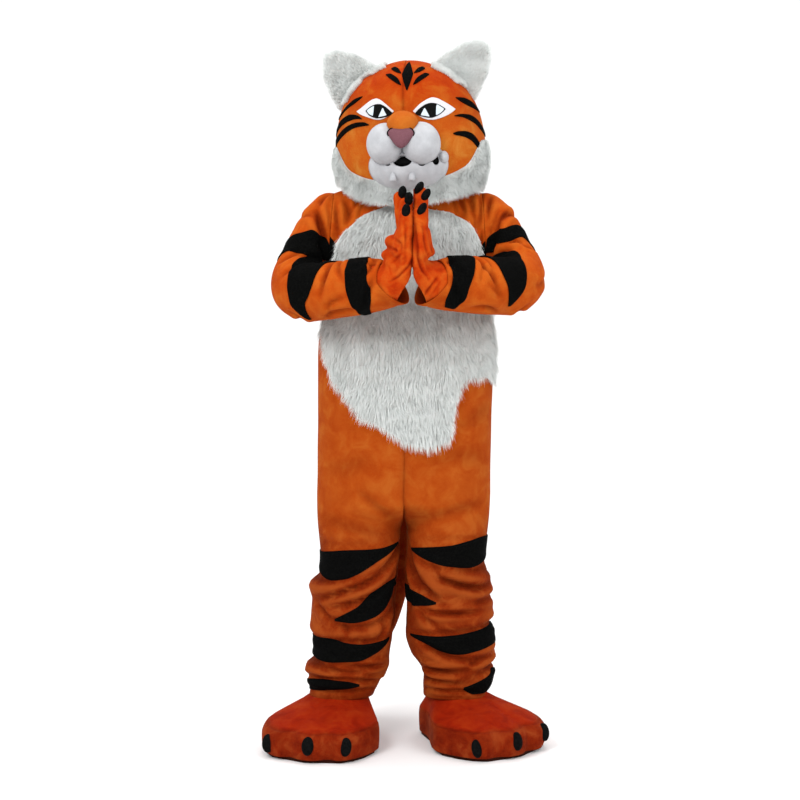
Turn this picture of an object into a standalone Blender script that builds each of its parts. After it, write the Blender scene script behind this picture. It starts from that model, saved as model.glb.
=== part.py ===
"""Tiger mascot costume: a plush jumpsuit with a white belly and black stripes, a hollow head with a
fur ruff, gloves, foot covers and a tail. It keeps the hollow form of a standing wearer with the palms
together.

Metres, +Z up, the face towards -Y. "left" is the wearer's left, at +X. Heights in the tables are above
the floor. The empty wearer_shoulders lowers everything by HOLD_HEIGHT, so that the origin is where the
wearer's shoulders carry the costume."""

import math

import bmesh
import bpy
import numpy as np
from mathutils import Matrix, Vector

# ---------------------------------------------------------------- driving dimensions

HOLD_HEIGHT = 1.49  # shoulder height of the wearer, above the floor
SEAM = 0.0003  # gap between pieces that are sewn together or lie on each other
PLUSH = 0.0030  # suit cloth with its pile
APPLIQUE = 0.0022  # black stripe cloth
CUT_MARGIN = 0.0038  # how far an outline's cutter reaches past the cloth that it trims
OUTLINE_ROWS = 4
LEAST_STEP = 0.2  # columns between an outline's end and its next point, at least
SWAY = 0.0145  # how far the standing suit leans to its left, per metre of height
HEM_SHIFT = 0.006  # how far the hems stand to the right of that lean
HEM_SHIFT_HEIGHT = 0.35

QUARTER = 7  # columns of a panel, from its centre or inseam edge to its side seam
EIGHTHS = 8  # the tables of folds, stripes and belly give places in eighths of a panel's width
CHEST_ROWS = 6  # rows of a panel beside the armhole
ROUNDNESS = 2.25  # superellipse exponent of the suit's sections

CROTCH_FRONT = 0.66  # height where the centre seam starts to run back between the legs
CROTCH = 0.575  # height where the two legs part
UNDERARM = 1.22
SHOULDER = 1.487

ROW_HEIGHTS = (0.110, 0.145, 0.180, 0.220, 0.260, 0.300, 0.342, 0.388, 0.434, 0.482, 0.530,
               CROTCH, 0.612, CROTCH_FRONT, 0.760, 0.880, 1.000, 1.115, UNDERARM)

# Sections of one leg: height, inner edge, outer edge, depth in front of and behind the side seam.
LEG = (
    (0.110, 0.072, 0.240, 0.084, 0.090),
    (0.140, 0.064, 0.245, 0.092, 0.096),
    (0.170, 0.056, 0.252, 0.103, 0.104),
    (0.200, 0.042, 0.2545, 0.110, 0.108),
    (0.235, 0.030, 0.252, 0.112, 0.110),
    (0.270, 0.019, 0.249, 0.110, 0.109),
    (0.310, 0.010, 0.248, 0.113, 0.111),
    (0.350, 0.004, 0.247, 0.117, 0.113),
    (0.390, 0.0022, 0.246, 0.120, 0.115),
    (0.430, 0.0018, 0.247, 0.122, 0.117),
    (0.475, 0.0018, 0.243, 0.122, 0.120),
    (0.525, 0.0018, 0.238, 0.125, 0.126),
    (CROTCH, 0.0018, 0.236, 0.129, 0.134),
    (CROTCH_FRONT, 0.0018, 0.236, 0.134, 0.142),
)

# Sections of the body: height, half width, depth in front of and behind the side seams.
TORSO = (
    (CROTCH, 0.236, 0.130, 0.137),
    (CROTCH_FRONT, 0.236, 0.141, 0.147),
    (0.750, 0.235, 0.150, 0.150),
    (0.850, 0.235, 0.158, 0.146),
    (0.950, 0.236, 0.160, 0.138),
    (1.050, 0.237, 0.154, 0.132),
    (1.140, 0.228, 0.140, 0.126),
    (UNDERARM, 0.214, 0.125, 0.120),
)

# Neck opening and shoulder seam: where the seam starts beside the neck and ends at the armhole.
NECK_SIDE = (0.100, 0.004, 1.522)
SHOULDER_TIP = (0.198, 0.004, SHOULDER)
NECK_FRONT = (0.0, -0.086, 1.486)
NECK_BACK = (0.0, 0.078, 1.518)
NECK_SHARE = 4 / QUARTER  # share of a panel's columns that ends at the neck
ARMHOLE_DEPTH = 0.078

# Arm: the armhole is joined to an upper arm that bends about the inside of the elbow.
ELBOWS = {1: (0.347, -0.100, 1.230), -1: (0.340, -0.100, 1.206)}
WRIST_OUT = 0.058  # from the plane where the palms meet to the middle of the cuff
PALM_X = 0.012  # that plane
WRIST = (-0.288, 1.250)  # y and height of the middle of the cuff
ARM_RADIUS = 0.075
ELBOW_CREASE = 0.005  # radius left inside the bend
SHOULDER_PULL = 0.135
ARM_COLUMNS = 2 * CHEST_ROWS
# Forearm rings after the bend: share of the way to the cuff, radius.
FOREARM = ((0.26, 0.074), (0.51, 0.072), (0.78, 0.069), (1.0, 0.0595))
ELBOW_RINGS = 4
CUFF_LENGTH = 0.62  # how much further the cuff reaches below the wrist, as a share of its radius
SHOULDER_RINGS = 4

# Head, in its own frame about HEAD_CENTRE. Sections: height, half width, depth before and behind.
HEAD_CENTRE = (0.027, 0.0, 1.665)
HEAD_YAW = math.radians(-6.0)
HEAD_ROLL = math.radians(-2.4)
HEAD_WALL = 0.008
HEAD_COLUMNS = 10  # from the front seam to the back seam
HEAD_BOTTOM = (-0.170, -0.128)  # lower edge at the front and at the back
HEAD_RISES = (0.0, 0.14, 0.28, 0.42, 0.55, 0.67, 0.78, 0.87, 0.94, 0.985, 1.0)
HEAD = (
    (-0.260, 0.165, 0.140, 0.150),
    (-0.170, 0.172, 0.142, 0.158),
    (-0.140, 0.184, 0.152, 0.172),
    (-0.100, 0.195, 0.163, 0.184),
    (-0.050, 0.199, 0.171, 0.190),
    (0.000, 0.194, 0.173, 0.188),
    (0.050, 0.180, 0.166, 0.178),
    (0.100, 0.149, 0.143, 0.152),
    (0.140, 0.104, 0.103, 0.110),
    (0.160, 0.066, 0.066, 0.070),
    (0.171, 0.030, 0.030, 0.032),
    (0.174, 0.0015, 0.0015, 0.0015),
)
HEAD_ROUNDNESS = 2.15

# Ruff: at these angles from the front (degrees), its top and bottom heights in the head's frame.
RUFF = ((0, -0.150, -0.222), (25, -0.146, -0.216), (50, -0.120, -0.196), (75, -0.050, -0.160),
        (100, -0.045, -0.146), (130, -0.080, -0.148), (180, -0.100, -0.172))
# Its wall: share of the way down, thickness, and how far its inner side flares from the head.
RUFF_WALL = ((0.0, 0.006, 0.0), (0.22, 0.021, 0.0), (0.55, 0.030, 0.0), (0.85, 0.025, 0.005), (1.0, 0.008, 0.012))

RUFF_DROP = {1: 0.0379, -1: 0.0064}
RUFF_SEAT = 0.001  # how far its inner side is cut away to lie on the head

# Ears: base and tip in the head's frame (x, height), half width of the base, thickness.
EAR_BASE = (0.106, 0.086)
EAR_TIP = (0.212, 0.203)
EAR_Y = 0.012
EAR_HALF_WIDTH = 0.077
EAR_COLUMNS = 10
# Share of the way to the tip, half width share, thickness, how far the middle is cupped back.
EAR_SHAPE = ((-0.06, 1.0, 0.046, 0.012), (0.18, 0.99, 0.044, 0.016), (0.42, 0.90, 0.038, 0.016),
             (0.64, 0.73, 0.032, 0.013), (0.82, 0.52, 0.025, 0.008), (0.94, 0.29, 0.016, 0.003))

# Foot covers, in a frame with the ankle at the origin and the toes towards -Y.
FOOT_PLACES = {1: (0.1416, 0.002, 41.0), -1: (-0.1704, 0.002, -18.0)}  # x, y and outward turn in degrees
ANKLE_PLACES = {1: (0.1524, 0.0), -1: (-0.1605, 0.0022)}  # x and y of each ankle, inside its hem
FOOT_COLUMNS = 22
FOOT_TOE_HALF = 0.159
FOOT_HEEL_HALF = 0.082
FOOT_HALF_LENGTH = 0.193
FOOT_MIDDLE = -0.094
TOE_PITCH = 0.104  # distance between the middles of two toes
TOE_DENT = 0.010
FOOT_WALL = 0.005
SOLE_THICKNESS = 0.009
ANKLE_HALF = (0.0705, 0.0745)
# Height, and share of the way from the ankle's ring out to the foot's outline.
FOOT_PROFILE = ((SOLE_THICKNESS + SEAM, 0.965), (0.032, 1.0), (0.054, 0.995), (0.073, 0.93), (0.084, 0.76),
                (0.091, 0.48), (0.097, 0.20), (0.102, 0.05), (0.168, 0.0))

# Hands, in a frame whose X is measured from the palms' plane and whose other axes are the suit's.
GLOVE_WALL = 0.0028
GLOVE_COLUMNS = 10
WRIST_STEPS = 3
PALM_HALF = (0.0215, 0.050)
WRIST_RADIUS = 0.054
WRIST_CREASE = 0.004
# Height of the palm's rings, share of the palm's thickness and width.
PALM_RINGS = ((1.326, 1.45, 1.05), (1.354, 1.12, 1.02), (1.380, 0.92, 0.94), (1.394, 0.62, 0.70))
FINGER_RADIUS = 0.0172
# Fingers and thumb: side, y and height of the root, then x from the palms' plane, y and height of the tip.
FINGERS = (
    ("index", 1, -0.281, 1.360, 0.0190, -0.280, 1.493),
    ("middle", 1, -0.313, 1.360, 0.0280, -0.314, 1.474),
    ("little", 1, -0.345, 1.350, 0.0190, -0.347, 1.438),
    ("thumb", 1, -0.272, 1.310, 0.0235, -0.250, 1.400),
    ("index", -1, -0.281, 1.360, 0.0285, -0.280, 1.481),
    ("middle", -1, -0.313, 1.360, 0.0185, -0.314, 1.464),
    ("little", -1, -0.345, 1.350, 0.0190, -0.347, 1.434),
    ("thumb", -1, -0.272, 1.310, 0.0235, -0.250, 1.395),
)
CLAW_RADII = (0.0092, 0.0092, 0.0172)
CLAW_LEAN = {1: 0.65, -1: -0.10}  # how far the claws lean outwards, per unit up

# Belly: column of the front (negative on the right), lower and upper edge.
BELLY = (
    (-6.4, 1.130, 1.300), (-6.0, 1.090, 1.370), (-5.2, 1.040, 1.405), (-4.5, 0.995, 1.428), (-3.7, 0.965, 1.443),
    (-3.0, 0.920, 1.452), (-2.0, 0.888, 1.458), (-0.9, 0.876, 1.460), (-0.1, 0.836, 1.461), (0.5, 0.822, 1.461),
    (1.0, 0.817, 1.460), (2.0, 0.824, 1.458), (2.4, 0.838, 1.456), (2.8, 0.930, 1.454), (3.3, 0.980, 1.448),
    (3.9, 0.998, 1.440), (5.0, 1.000, 1.420), (6.0, 0.992, 1.385), (6.9, 0.982, 1.330), (7.5, 0.976, 1.240),
)
BELLY_PILE = 0.010

# Stripes of the trousers: column from the inseam (8 is the side seam), lower and upper edge.
LEG_STRIPES = {
    ("thigh", -1): ((1.2, 0.548, 0.552), (2.9, 0.508, 0.541), (3.4, 0.492, 0.540), (4.5, 0.459, 0.538),
                    (5.6, 0.452, 0.532), (6.5, 0.468, 0.526), (8.0, 0.488, 0.521), (10.4, 0.502, 0.507)),
    ("knee", -1): ((0.8, 0.432, 0.462), (1.6, 0.408, 0.452), (2.4, 0.372, 0.440), (3.1, 0.353, 0.424),
                   (4.1, 0.340, 0.377), (5.1, 0.343, 0.348)),
    ("shin", -1): ((1.4, 0.286, 0.291), (2.4, 0.252, 0.283), (3.5, 0.234, 0.279), (4.3, 0.232, 0.283),
                   (5.2, 0.230, 0.294), (6.5, 0.234, 0.292), (8.0, 0.240, 0.288), (10.2, 0.258, 0.268)),
    ("ankle", -1): ((2.9, 0.163, 0.168), (3.9, 0.155, 0.178), (5.0, 0.150, 0.181), (6.4, 0.143, 0.176),
                    (8.0, 0.137, 0.163), (9.6, 0.143, 0.150)),
    ("thigh", 1): ((1.6, 0.533, 0.538), (2.75, 0.511, 0.544), (4.0, 0.493, 0.550), (5.1, 0.487, 0.561),
                   (6.4, 0.497, 0.568), (8.0, 0.515, 0.562), (10.2, 0.530, 0.540)),
    ("knee", 1): ((0.6, 0.400, 0.432), (1.2, 0.386, 0.427), (1.8, 0.380, 0.423), (2.4, 0.383, 0.416),
                  (3.4, 0.391, 0.396)),
    ("shin", 1): ((1.3, 0.296, 0.300), (2.3, 0.284, 0.301), (3.4, 0.260, 0.302), (4.2, 0.252, 0.305),
                  (5.4, 0.258, 0.312), (6.7, 0.266, 0.318), (8.0, 0.272, 0.318), (10.0, 0.290, 0.300)),
    ("ankle", 1): ((4.4, 0.152, 0.160), (5.2, 0.138, 0.170), (6.4, 0.136, 0.187), (7.2, 0.142, 0.200),
                   (8.2, 0.152, 0.190), (9.4, 0.168, 0.174)),
}

# Stripes of the sleeves: column round the arm (0 under it), first and last ring from the shoulder.
SLEEVE_STRIPES = {
    ("upper", -1): ((2.8, 0.7, 2.4), (3.1, 0.8, 3.2), (3.7, 1.4, 3.75), (4.4, 2.1, 4.1), (5.1, 2.75, 4.3),
                    (6.1, 3.4, 4.43), (7.2, 3.7, 4.4), (8.6, 4.07, 4.23)),
    ("elbow", -1): ((3.0, 3.7, 9.47), (3.7, 4.0, 9.4), (4.3, 5.07, 9.27), (4.9, 6.27, 9.07), (5.9, 7.0, 8.9),
                    (6.9, 7.4, 8.73), (7.75, 7.5, 8.33), (8.6, 7.63, 8.2), (9.7, 7.83, 8.0)),
    ("fore", -1): ((3.0, 10.13, 10.6), (4.0, 10.13, 10.93), (4.8, 10.27, 11.13), (6.0, 10.47, 11.33), (7.0, 10.6, 11.53),
                   (8.0, 10.67, 11.53), (9.4, 10.53, 11.27), (10.5, 10.6, 10.93)),
    ("upper", 1): ((2.7, 0.35, 1.2), (3.25, 0.6, 2.0), (4.1, 1.72, 3.08), (5.2, 2.35, 3.28), (6.0, 2.65, 3.7),
                   (7.0, 3.05, 4.1), (8.3, 3.7, 4.1)),
    ("elbow", 1): ((3.0, 3.6, 9.47), (3.6, 3.8, 9.33), (4.25, 4.4, 9.07), (4.8, 5.47, 8.87), (5.3, 6.4, 8.9),
                   (6.0, 7.13, 8.9), (6.7, 7.53, 8.73), (7.4, 7.9, 8.63), (8.2, 8.2, 8.47)),
    ("fore", 1): ((3.4, 10.47, 11.07), (4.6, 10.53, 11.6), (5.9, 10.67, 11.8), (7.5, 10.87, 11.8), (8.4, 11.0, 11.73),
                  (9.6, 11.13, 11.47)),
}

# Zip down the centre back, with its slider as closed as it goes.
ZIP_TOP = 1.500
ZIP_BOTTOM = 0.860
ZIP_HALF_COLUMNS = 0.26
ZIP_TAPE = 0.0012
SLIDER_HEIGHT = 1.425
SLIDER_SIZE = (0.014, 0.018, 0.0040)  # across, along the zip, thick
SLIDER_LIFT = 0.0009
SLIDER_POST = (0.0020, 0.0045)  # thickness, and height above the slider
PULL_BAR = (0.0011, 0.0032)  # radius, and height of its middle above the slider
PULL_SIZE = (0.0062, 0.034, 0.0018)

# Tail: points of its middle line and its radius there.
TAIL = (
    (0.000, 0.128, 0.770, 0.030), (0.000, 0.160, 0.735, 0.030), (0.002, 0.182, 0.680, 0.030),
    (0.004, 0.190, 0.600, 0.029), (0.002, 0.190, 0.520, 0.028), (-0.004, 0.188, 0.440, 0.028),
    (-0.014, 0.188, 0.370, 0.028), (-0.032, 0.190, 0.300, 0.028), (-0.060, 0.194, 0.240, 0.028),
    (-0.096, 0.200, 0.205, 0.026), (-0.128, 0.206, 0.200, 0.018),
)
TAIL_SEAT = (0.62, 0.94)  # heights between which its base is cut to the back
TAIL_TIP = (-0.146, 0.209, 0.203)
TAIL_COLUMNS = 10

CLOTHS = {
    "orange_plush": ((0.85, 0.20, 0.02), 0.9),
    "foot_plush": ((0.62, 0.09, 0.01), 0.9),
    "white_fur": ((0.80, 0.80, 0.77), 0.95),
    "black_plush": ((0.012, 0.012, 0.014), 0.9),
    "white_plush": ((0.78, 0.79, 0.82), 0.9),
    "nose_felt": ((0.36, 0.14, 0.17), 0.6),
    "claw_vinyl": ((0.010, 0.010, 0.011), 0.4),
    "mouth_mesh": ((0.015, 0.015, 0.016), 0.8),
    "sole_rubber": ((0.05, 0.05, 0.05), 0.8),
    "zip_tape": ((0.55, 0.14, 0.03), 0.8),
    "zip_metal": ((0.40, 0.41, 0.43), 0.35),
}


# ---------------------------------------------------------------- scene and small helpers

def cleared_scene():
    for leftover in list(bpy.data.objects):
        bpy.data.objects.remove(leftover)


def new_collection(name):
    collection = bpy.data.collections.new(name)
    bpy.context.scene.collection.children.link(collection)
    return collection


def new_material(name, colour, roughness):
    material = bpy.data.materials.new(name)
    material.use_nodes = True
    shader = material.node_tree.nodes["Principled BSDF"]
    shader.inputs["Base Color"].default_value = (*colour, 1.0)
    shader.inputs["Roughness"].default_value = roughness
    shader.inputs["Metallic"].default_value = 1.0 if name == "zip_metal" else 0.0
    return material


def add_piece(name, mesh, cloth, parent):
    """A named, smooth-shaded piece of the costume."""
    piece = bpy.data.objects.new(name, mesh)
    COSTUME.objects.link(piece)
    piece.parent = parent
    mesh.materials.append(MATERIALS[cloth])
    mesh.shade_smooth()
    mesh.set_sharp_from_angle(angle=math.radians(50))
    return piece


def add_cutter(name, mesh, parent):
    cutter = bpy.data.objects.new(name, mesh)
    CUTTERS.objects.link(cutter)
    cutter.parent = parent
    cutter.hide_render = True
    cutter.display_type = "WIRE"
    return cutter


def combine(piece, other, operation="DIFFERENCE", creased=True):
    """Cuts the piece by another, or joins or intersects the two. A creased one may run into itself."""
    modifier = piece.modifiers.new(operation.lower(), "BOOLEAN")
    modifier.operation = operation
    modifier.object = other
    modifier.solver = "EXACT"
    modifier.use_self = creased
    return piece


def row_at(table, height):
    """The table's columns after the first, read smoothly at a height."""
    rows = np.array(table)
    return [float(np.interp(height, rows[:, 0], rows[:, column])) for column in range(1, rows.shape[1])]


def finished(mesh_name, build, place=None):
    """A mesh from a bmesh, with its faces pointing out, moved by the matrix place."""
    bmesh.ops.recalc_face_normals(build, faces=build.faces)
    if place:
        build.transform(place)
    mesh = bpy.data.meshes.new(mesh_name)
    build.to_mesh(mesh)
    build.free()
    return mesh


def folded_cells(build, sheets, key, ways, ring):
    """The cells of sheets of vertices, [row][column], as triangles. Each cell folds along the diagonal
    that stands out, as read from the points key, so that surfaces made from one grid lie flat on each
    other."""
    rows, columns = key.shape[:2]
    for row in range(rows - 1):
        for column in range(columns if ring else columns - 1):
            after = (column + 1) % columns
            rise = key[row, column] + key[row + 1, after] - key[row, after] - key[row + 1, column]
            for sheet in sheets:
                corners = [sheet[row][column], sheet[row][after], sheet[row + 1][after], sheet[row + 1][column]]
                if rise @ ways[row, column] <= 0:
                    corners = corners[1:] + corners[:1]
                build.faces.new(corners[:3])
                build.faces.new(corners[2:] + corners[:1])


def mesh_of_wall(name, outer, inner, ring, key=None):
    """A closed wall between two grids of points, [row, column, xyz]. A ring's columns meet round it."""
    outer, inner = np.array(outer), np.array(inner)
    build = bmesh.new()
    sides = [[[build.verts.new(point) for point in row] for row in grid] for grid in (outer, inner)]
    folded_cells(build, sides, outer if key is None else key, outer - inner, ring)
    rows, columns = outer.shape[:2]
    for row in (0, rows - 1):
        for column in range(columns if ring else columns - 1):
            after = (column + 1) % columns
            build.faces.new((sides[0][row][column], sides[0][row][after],
                             sides[1][row][after], sides[1][row][column]))
    if not ring:
        for column in (0, columns - 1):
            for row in range(rows - 1):
                build.faces.new((sides[0][row][column], sides[0][row + 1][column],
                                 sides[1][row + 1][column], sides[1][row][column]))
    return finished(name, build)


def mesh_of_rings(name, rings, poles=(None, None), key=None):
    """A closed solid through rings of points; each end is a flat cap or comes to a pole. key is the
    surface, a pair of grids (points, normals), that the rings were made from."""
    rings = np.array(rings)
    points, ways = key or (rings, rings - rings.mean(axis=1, keepdims=True))
    build = bmesh.new()
    loops = [[build.verts.new(point) for point in ring] for ring in rings]
    folded_cells(build, [loops], points, ways, ring=True)
    count = len(loops[0])
    for loop, pole in ((loops[0], poles[0]), (loops[-1], poles[1])):
        if pole is None:
            build.faces.new(loop)
            continue
        tip = build.verts.new(pole)
        for column in range(count):
            build.faces.new((loop[column], loop[(column + 1) % count], tip))
    return finished(name, build)


def unit(vectors):
    return vectors / np.linalg.norm(vectors, axis=-1, keepdims=True)


def grid_normals(grid, ring):
    """Normals of a grid of points, by the differences of its neighbours."""
    if ring:
        across = np.roll(grid, -1, axis=1) - np.roll(grid, 1, axis=1)
    else:
        across = np.gradient(grid, axis=1)
    return unit(np.cross(across, np.gradient(grid, axis=0)))


def grid_at(grid, row, column):
    """The point of a grid at fractional row and column."""
    row = min(max(row, 0.0), grid.shape[0] - 1.0)
    column = min(max(column, 0.0), grid.shape[1] - 1.0)
    r, c = min(int(row), grid.shape[0] - 2), min(int(column), grid.shape[1] - 2)
    fr, fc = row - r, column - c
    return ((1 - fr) * ((1 - fc) * grid[r, c] + fc * grid[r, c + 1])
            + fr * ((1 - fc) * grid[r + 1, c] + fc * grid[r + 1, c + 1]))


def smooth(share):
    share = min(max(share, 0.0), 1.0)
    return share * share * (3 - 2 * share)


# ---------------------------------------------------------------- the suit's surface

def round_power(value, power):
    return math.copysign(abs(value) ** power, value)


def body_point(height, share, depth_sign):
    """A point of half a body section: share 0 at the centre line, 1 at the side seam."""
    half_width, front, back = row_at(TORSO, height)
    depth = front if depth_sign < 0 else back
    angle = share * math.pi / 2
    power = 2 / ROUNDNESS
    return np.array((half_width * math.sin(angle) ** power,
                     depth_sign * depth * max(math.cos(angle), 0.0) ** power, height))


def leg_point(height, share, depth_sign):
    """A point of half a leg section: share 0 at the inseam, 1 at the side seam."""
    inner, outer, front, back = row_at(LEG, height)
    depth = front if depth_sign < 0 else back
    angle = share * math.pi
    power = 2 / ROUNDNESS
    return np.array(((inner + outer) / 2 - (outer - inner) / 2 * round_power(math.cos(angle), power),
                     depth_sign * depth * max(math.sin(angle), 0.0) ** power, height))


def suit_point(height, share, depth_sign):
    if height >= CROTCH_FRONT:
        return body_point(height, share, depth_sign)
    if height <= CROTCH:
        return leg_point(height, share, depth_sign)
    legs = ((CROTCH_FRONT - height) / (CROTCH_FRONT - CROTCH)) ** 1.6
    return (1 - legs) * body_point(height, share, depth_sign) + legs * leg_point(height, share, depth_sign)


def armhole_point(share, depth_sign):
    """Half an armhole, share 0 at the underarm and 1 at the shoulder: an ellipse on a leaning plane."""
    under, tip = np.array((TORSO[-1][1], 0.0, UNDERARM)), np.array(SHOULDER_TIP)
    angle = share * math.pi
    along = (1 - math.cos(angle)) / 2
    point = under + (tip - under) * along
    point[1] += depth_sign * ARMHOLE_DEPTH * math.sin(angle)
    return point


def laid_in_armhole(ways, side):
    """Directions turned into the armhole's plane, so that the walls on both sides of it stay apart."""
    across = np.array((side * (SHOULDER_TIP[0] - TORSO[-1][1]), SHOULDER_TIP[1], SHOULDER_TIP[2] - UNDERARM))
    square = unit(np.cross(across, np.array((0.0, 1.0, 0.0))))
    return unit(ways - (ways @ square)[..., None] * square)


def top_point(share, depth_sign):
    """A panel's top edge: round the neck, and then along the shoulder seam."""
    side = np.array(NECK_SIDE)
    if share <= NECK_SHARE:
        centre = np.array(NECK_FRONT if depth_sign < 0 else NECK_BACK)
        angle = share / NECK_SHARE * math.pi / 2
        return np.array((side[0] * math.sin(angle),
                         side[1] + (centre[1] - side[1]) * math.cos(angle),
                         side[2] + (centre[2] - side[2]) * math.cos(angle)))
    return side + (np.array(SHOULDER_TIP) - side) * (share - NECK_SHARE) / (1 - NECK_SHARE)


def chest_point(share, rise, depth_sign):
    """The panel above the underarm, filled in between its four edges."""
    bottom = body_point(UNDERARM, share, depth_sign)
    top = top_point(share, depth_sign)
    low, high = body_point(UNDERARM, 0, depth_sign), top_point(0, depth_sign)
    centre = low + (high - low) * rise
    centre[1] += depth_sign * 0.012 * math.sin(math.pi * rise)
    side = armhole_point(rise, depth_sign)
    corners = ((1 - share) * ((1 - rise) * low + rise * high)
               + share * ((1 - rise) * armhole_point(0, depth_sign) + rise * armhole_point(1, depth_sign)))
    return (1 - rise) * bottom + rise * top + (1 - share) * centre + share * side - corners


# Soft folds of the trousers: side (+1 left), height and column at the middle, rise over one column,
# half length in columns, half width and depth.
FOLDS = (
    (-1, 0.455, 5.2, 0.014, 3.4, 0.020, 0.009),
    (-1, 0.405, 3.6, 0.022, 2.8, 0.022, 0.008),
    (-1, 0.330, 5.6, -0.010, 3.0, 0.022, 0.007),
    (-1, 0.222, 3.8, -0.006, 3.0, 0.017, 0.008),
    (-1, 0.158, 4.4, 0.004, 4.0, 0.014, 0.007),
    (1, 0.450, 3.4, -0.012, 3.0, 0.020, 0.008),
    (1, 0.385, 5.0, -0.016, 3.2, 0.022, 0.009),
    (1, 0.335, 2.8, 0.010, 2.6, 0.020, 0.007),
    (1, 0.222, 4.2, 0.012, 3.2, 0.018, 0.008),
    (1, 0.150, 3.8, -0.004, 3.8, 0.014, 0.007),
)


def fold_depth(side, height, column):
    """How far the folds pull the cloth in at a place of the trousers."""
    depth = 0.0
    for fold_side, at, middle, rise, half_length, half_width, deep in FOLDS:
        along = (column - middle) / half_length
        if fold_side != side or abs(along) >= 1:
            continue
        off = (height - at - rise * (column - middle)) / half_width
        depth += deep * (1 - along * along) ** 2 * math.exp(-off * off)
    return depth


def suit_half(side):
    """Front and back grids of one side, each with its normals."""
    shares = [column / QUARTER for column in range(QUARTER + 1)]
    panels = {}
    for name, sign in (("front", -1), ("back", 1)):
        rows = [[suit_point(height, share, sign) for share in shares] for height in ROW_HEIGHTS]
        rows += [[chest_point(share, row / CHEST_ROWS, sign) for share in shares]
                 for row in range(1, CHEST_ROWS + 1)]
        panels[name] = np.array(rows)
    mirror = np.array((-1.0, 1.0, 1.0))
    legs = ROW_HEIGHTS.index(CROTCH)
    body = len(ROW_HEIGHTS) - 1
    normals = {}
    for name, other in (("front", "back"), ("back", "front")):
        grid, facing = panels[name], panels[other]
        before = grid[:, 1] * mirror
        before[:legs + 1] = facing[:legs + 1, 1]
        after = facing[:, -2].copy()
        after[body + 1:] = 2 * grid[body + 1:, -1] - grid[body + 1:, -2]
        wide = np.concatenate([before[:, None], grid, after[:, None]], axis=1)
        across = wide[:, 2:] - wide[:, :-2]
        up = np.gradient(grid, axis=0)
        up[-1] = grid[-1] - grid[-2]
        sign = 1 if name == "front" else -1
        normals[name] = unit(sign * np.cross(across, up))
        shoulder = round(NECK_SHARE * QUARTER)
        normals[name][-1, shoulder:] = (0.0, 0.0, 1.0)
    for name in panels:
        for row in range(len(ROW_HEIGHTS)):
            for column in range(QUARTER + 1):
                if name == "front" and 0 < column < QUARTER:
                    depth = fold_depth(side, ROW_HEIGHTS[row], column * EIGHTHS / QUARTER)
                    panels[name][row, column] -= depth * normals[name][row, column]
        panels[name][..., 0] *= side
        normals[name][..., 0] *= side
        normals[name][body:, -1] = laid_in_armhole(normals[name][body:, -1], side)
    return panels, normals


def swayed(points):
    moved = np.array(points, float)
    low = np.maximum(1 - moved[..., 2] / HEM_SHIFT_HEIGHT, 0.0)
    moved[..., 0] += SWAY * moved[..., 2] - HEM_SHIFT * low
    return moved


def pulled_in(grid, edges):
    """Moves the named edge columns or rows half a seam gap towards the middle of the grid."""
    moved = grid.copy()
    if "first_column" in edges:
        moved[:, 0] += SEAM / 2 * unit(grid[:, 1] - grid[:, 0])
    if "last_column" in edges:
        moved[:, -1] += SEAM / 2 * unit(grid[:, -2] - grid[:, -1])
    if "last_row" in edges:
        moved[-1] += SEAM / 2 * unit(grid[-2] - grid[-1])
    return moved


def make_panel(name, grid, normals):
    """One front or back panel of the suit, as a wall with half a seam gap at each sewn edge."""
    edges = ("first_column", "last_column", "last_row")
    outer = pulled_in(grid, edges)
    inner = pulled_in(grid - PLUSH * normals, edges)
    return add_piece(name, mesh_of_wall(name, swayed(outer), swayed(inner), ring=False), "orange_plush", ROOT)


def make_suit():
    """The four panels, and their grids for what is sewn on them."""
    surfaces = {}
    for side, word in ((1, "left"), (-1, "right")):
        panels, normals = suit_half(side)
        for name in ("front", "back"):
            make_panel(f"{name}_{word}", panels[name], normals[name])
            surfaces[name, side] = (panels[name], normals[name])
    return surfaces


# ---------------------------------------------------------------- cloth sewn on a surface

def applique(name, surface, columns, thickness, cloth, ring=False, sway=True, parent=None):
    """Cloth that lies on a surface, a pair of grids (points, normals). columns holds rows of
    (column, lowest row, highest row) of its outline, in the surface's own rows and columns."""
    grid, normals = surface
    if ring:
        grid, normals = (np.concatenate([part, part, part[:, :1]], axis=1) for part in (grid, normals))
    first = max(int(min(row[0] for row in columns)) - 1, 0)
    last = min(int(math.ceil(max(row[0] for row in columns))) + 1, grid.shape[1] - 1)
    low = max(int(min(row[1] for row in columns)) - 1, 0)
    high = min(int(math.ceil(max(row[2] for row in columns))) + 1, grid.shape[0] - 1)
    points = grid[low:high + 1, first:last + 1]
    ways = normals[low:high + 1, first:last + 1]
    place = swayed if sway else np.array
    parent = parent or ROOT
    sheet = mesh_of_wall(name, place(points + (SEAM + thickness) * ways), place(points + SEAM * ways),
                         ring=False, key=place(points))
    sheet = add_piece(name, sheet, cloth, parent)
    outer, inner = [], []
    reach = thickness + CUT_MARGIN
    for column, lowest, highest in columns:
        ends = [(grid_at(grid, row, column), unit(grid_at(normals, row, column)))
                for row in np.linspace(lowest, highest, OUTLINE_ROWS)]
        outer.append([point + reach * way for point, way in ends])
        inner.append([point - reach * way for point, way in ends])
    outline = add_cutter(f"{name}_outline", mesh_of_wall(f"{name}_outline", place(outer), place(inner),
                                                         ring=False), parent)
    combine(sheet, outline, "INTERSECT")
    return sheet


def row_of(height):
    """The fractional row of the suit at a height below the underarm."""
    return float(np.interp(height, ROW_HEIGHTS, range(len(ROW_HEIGHTS))))


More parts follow.
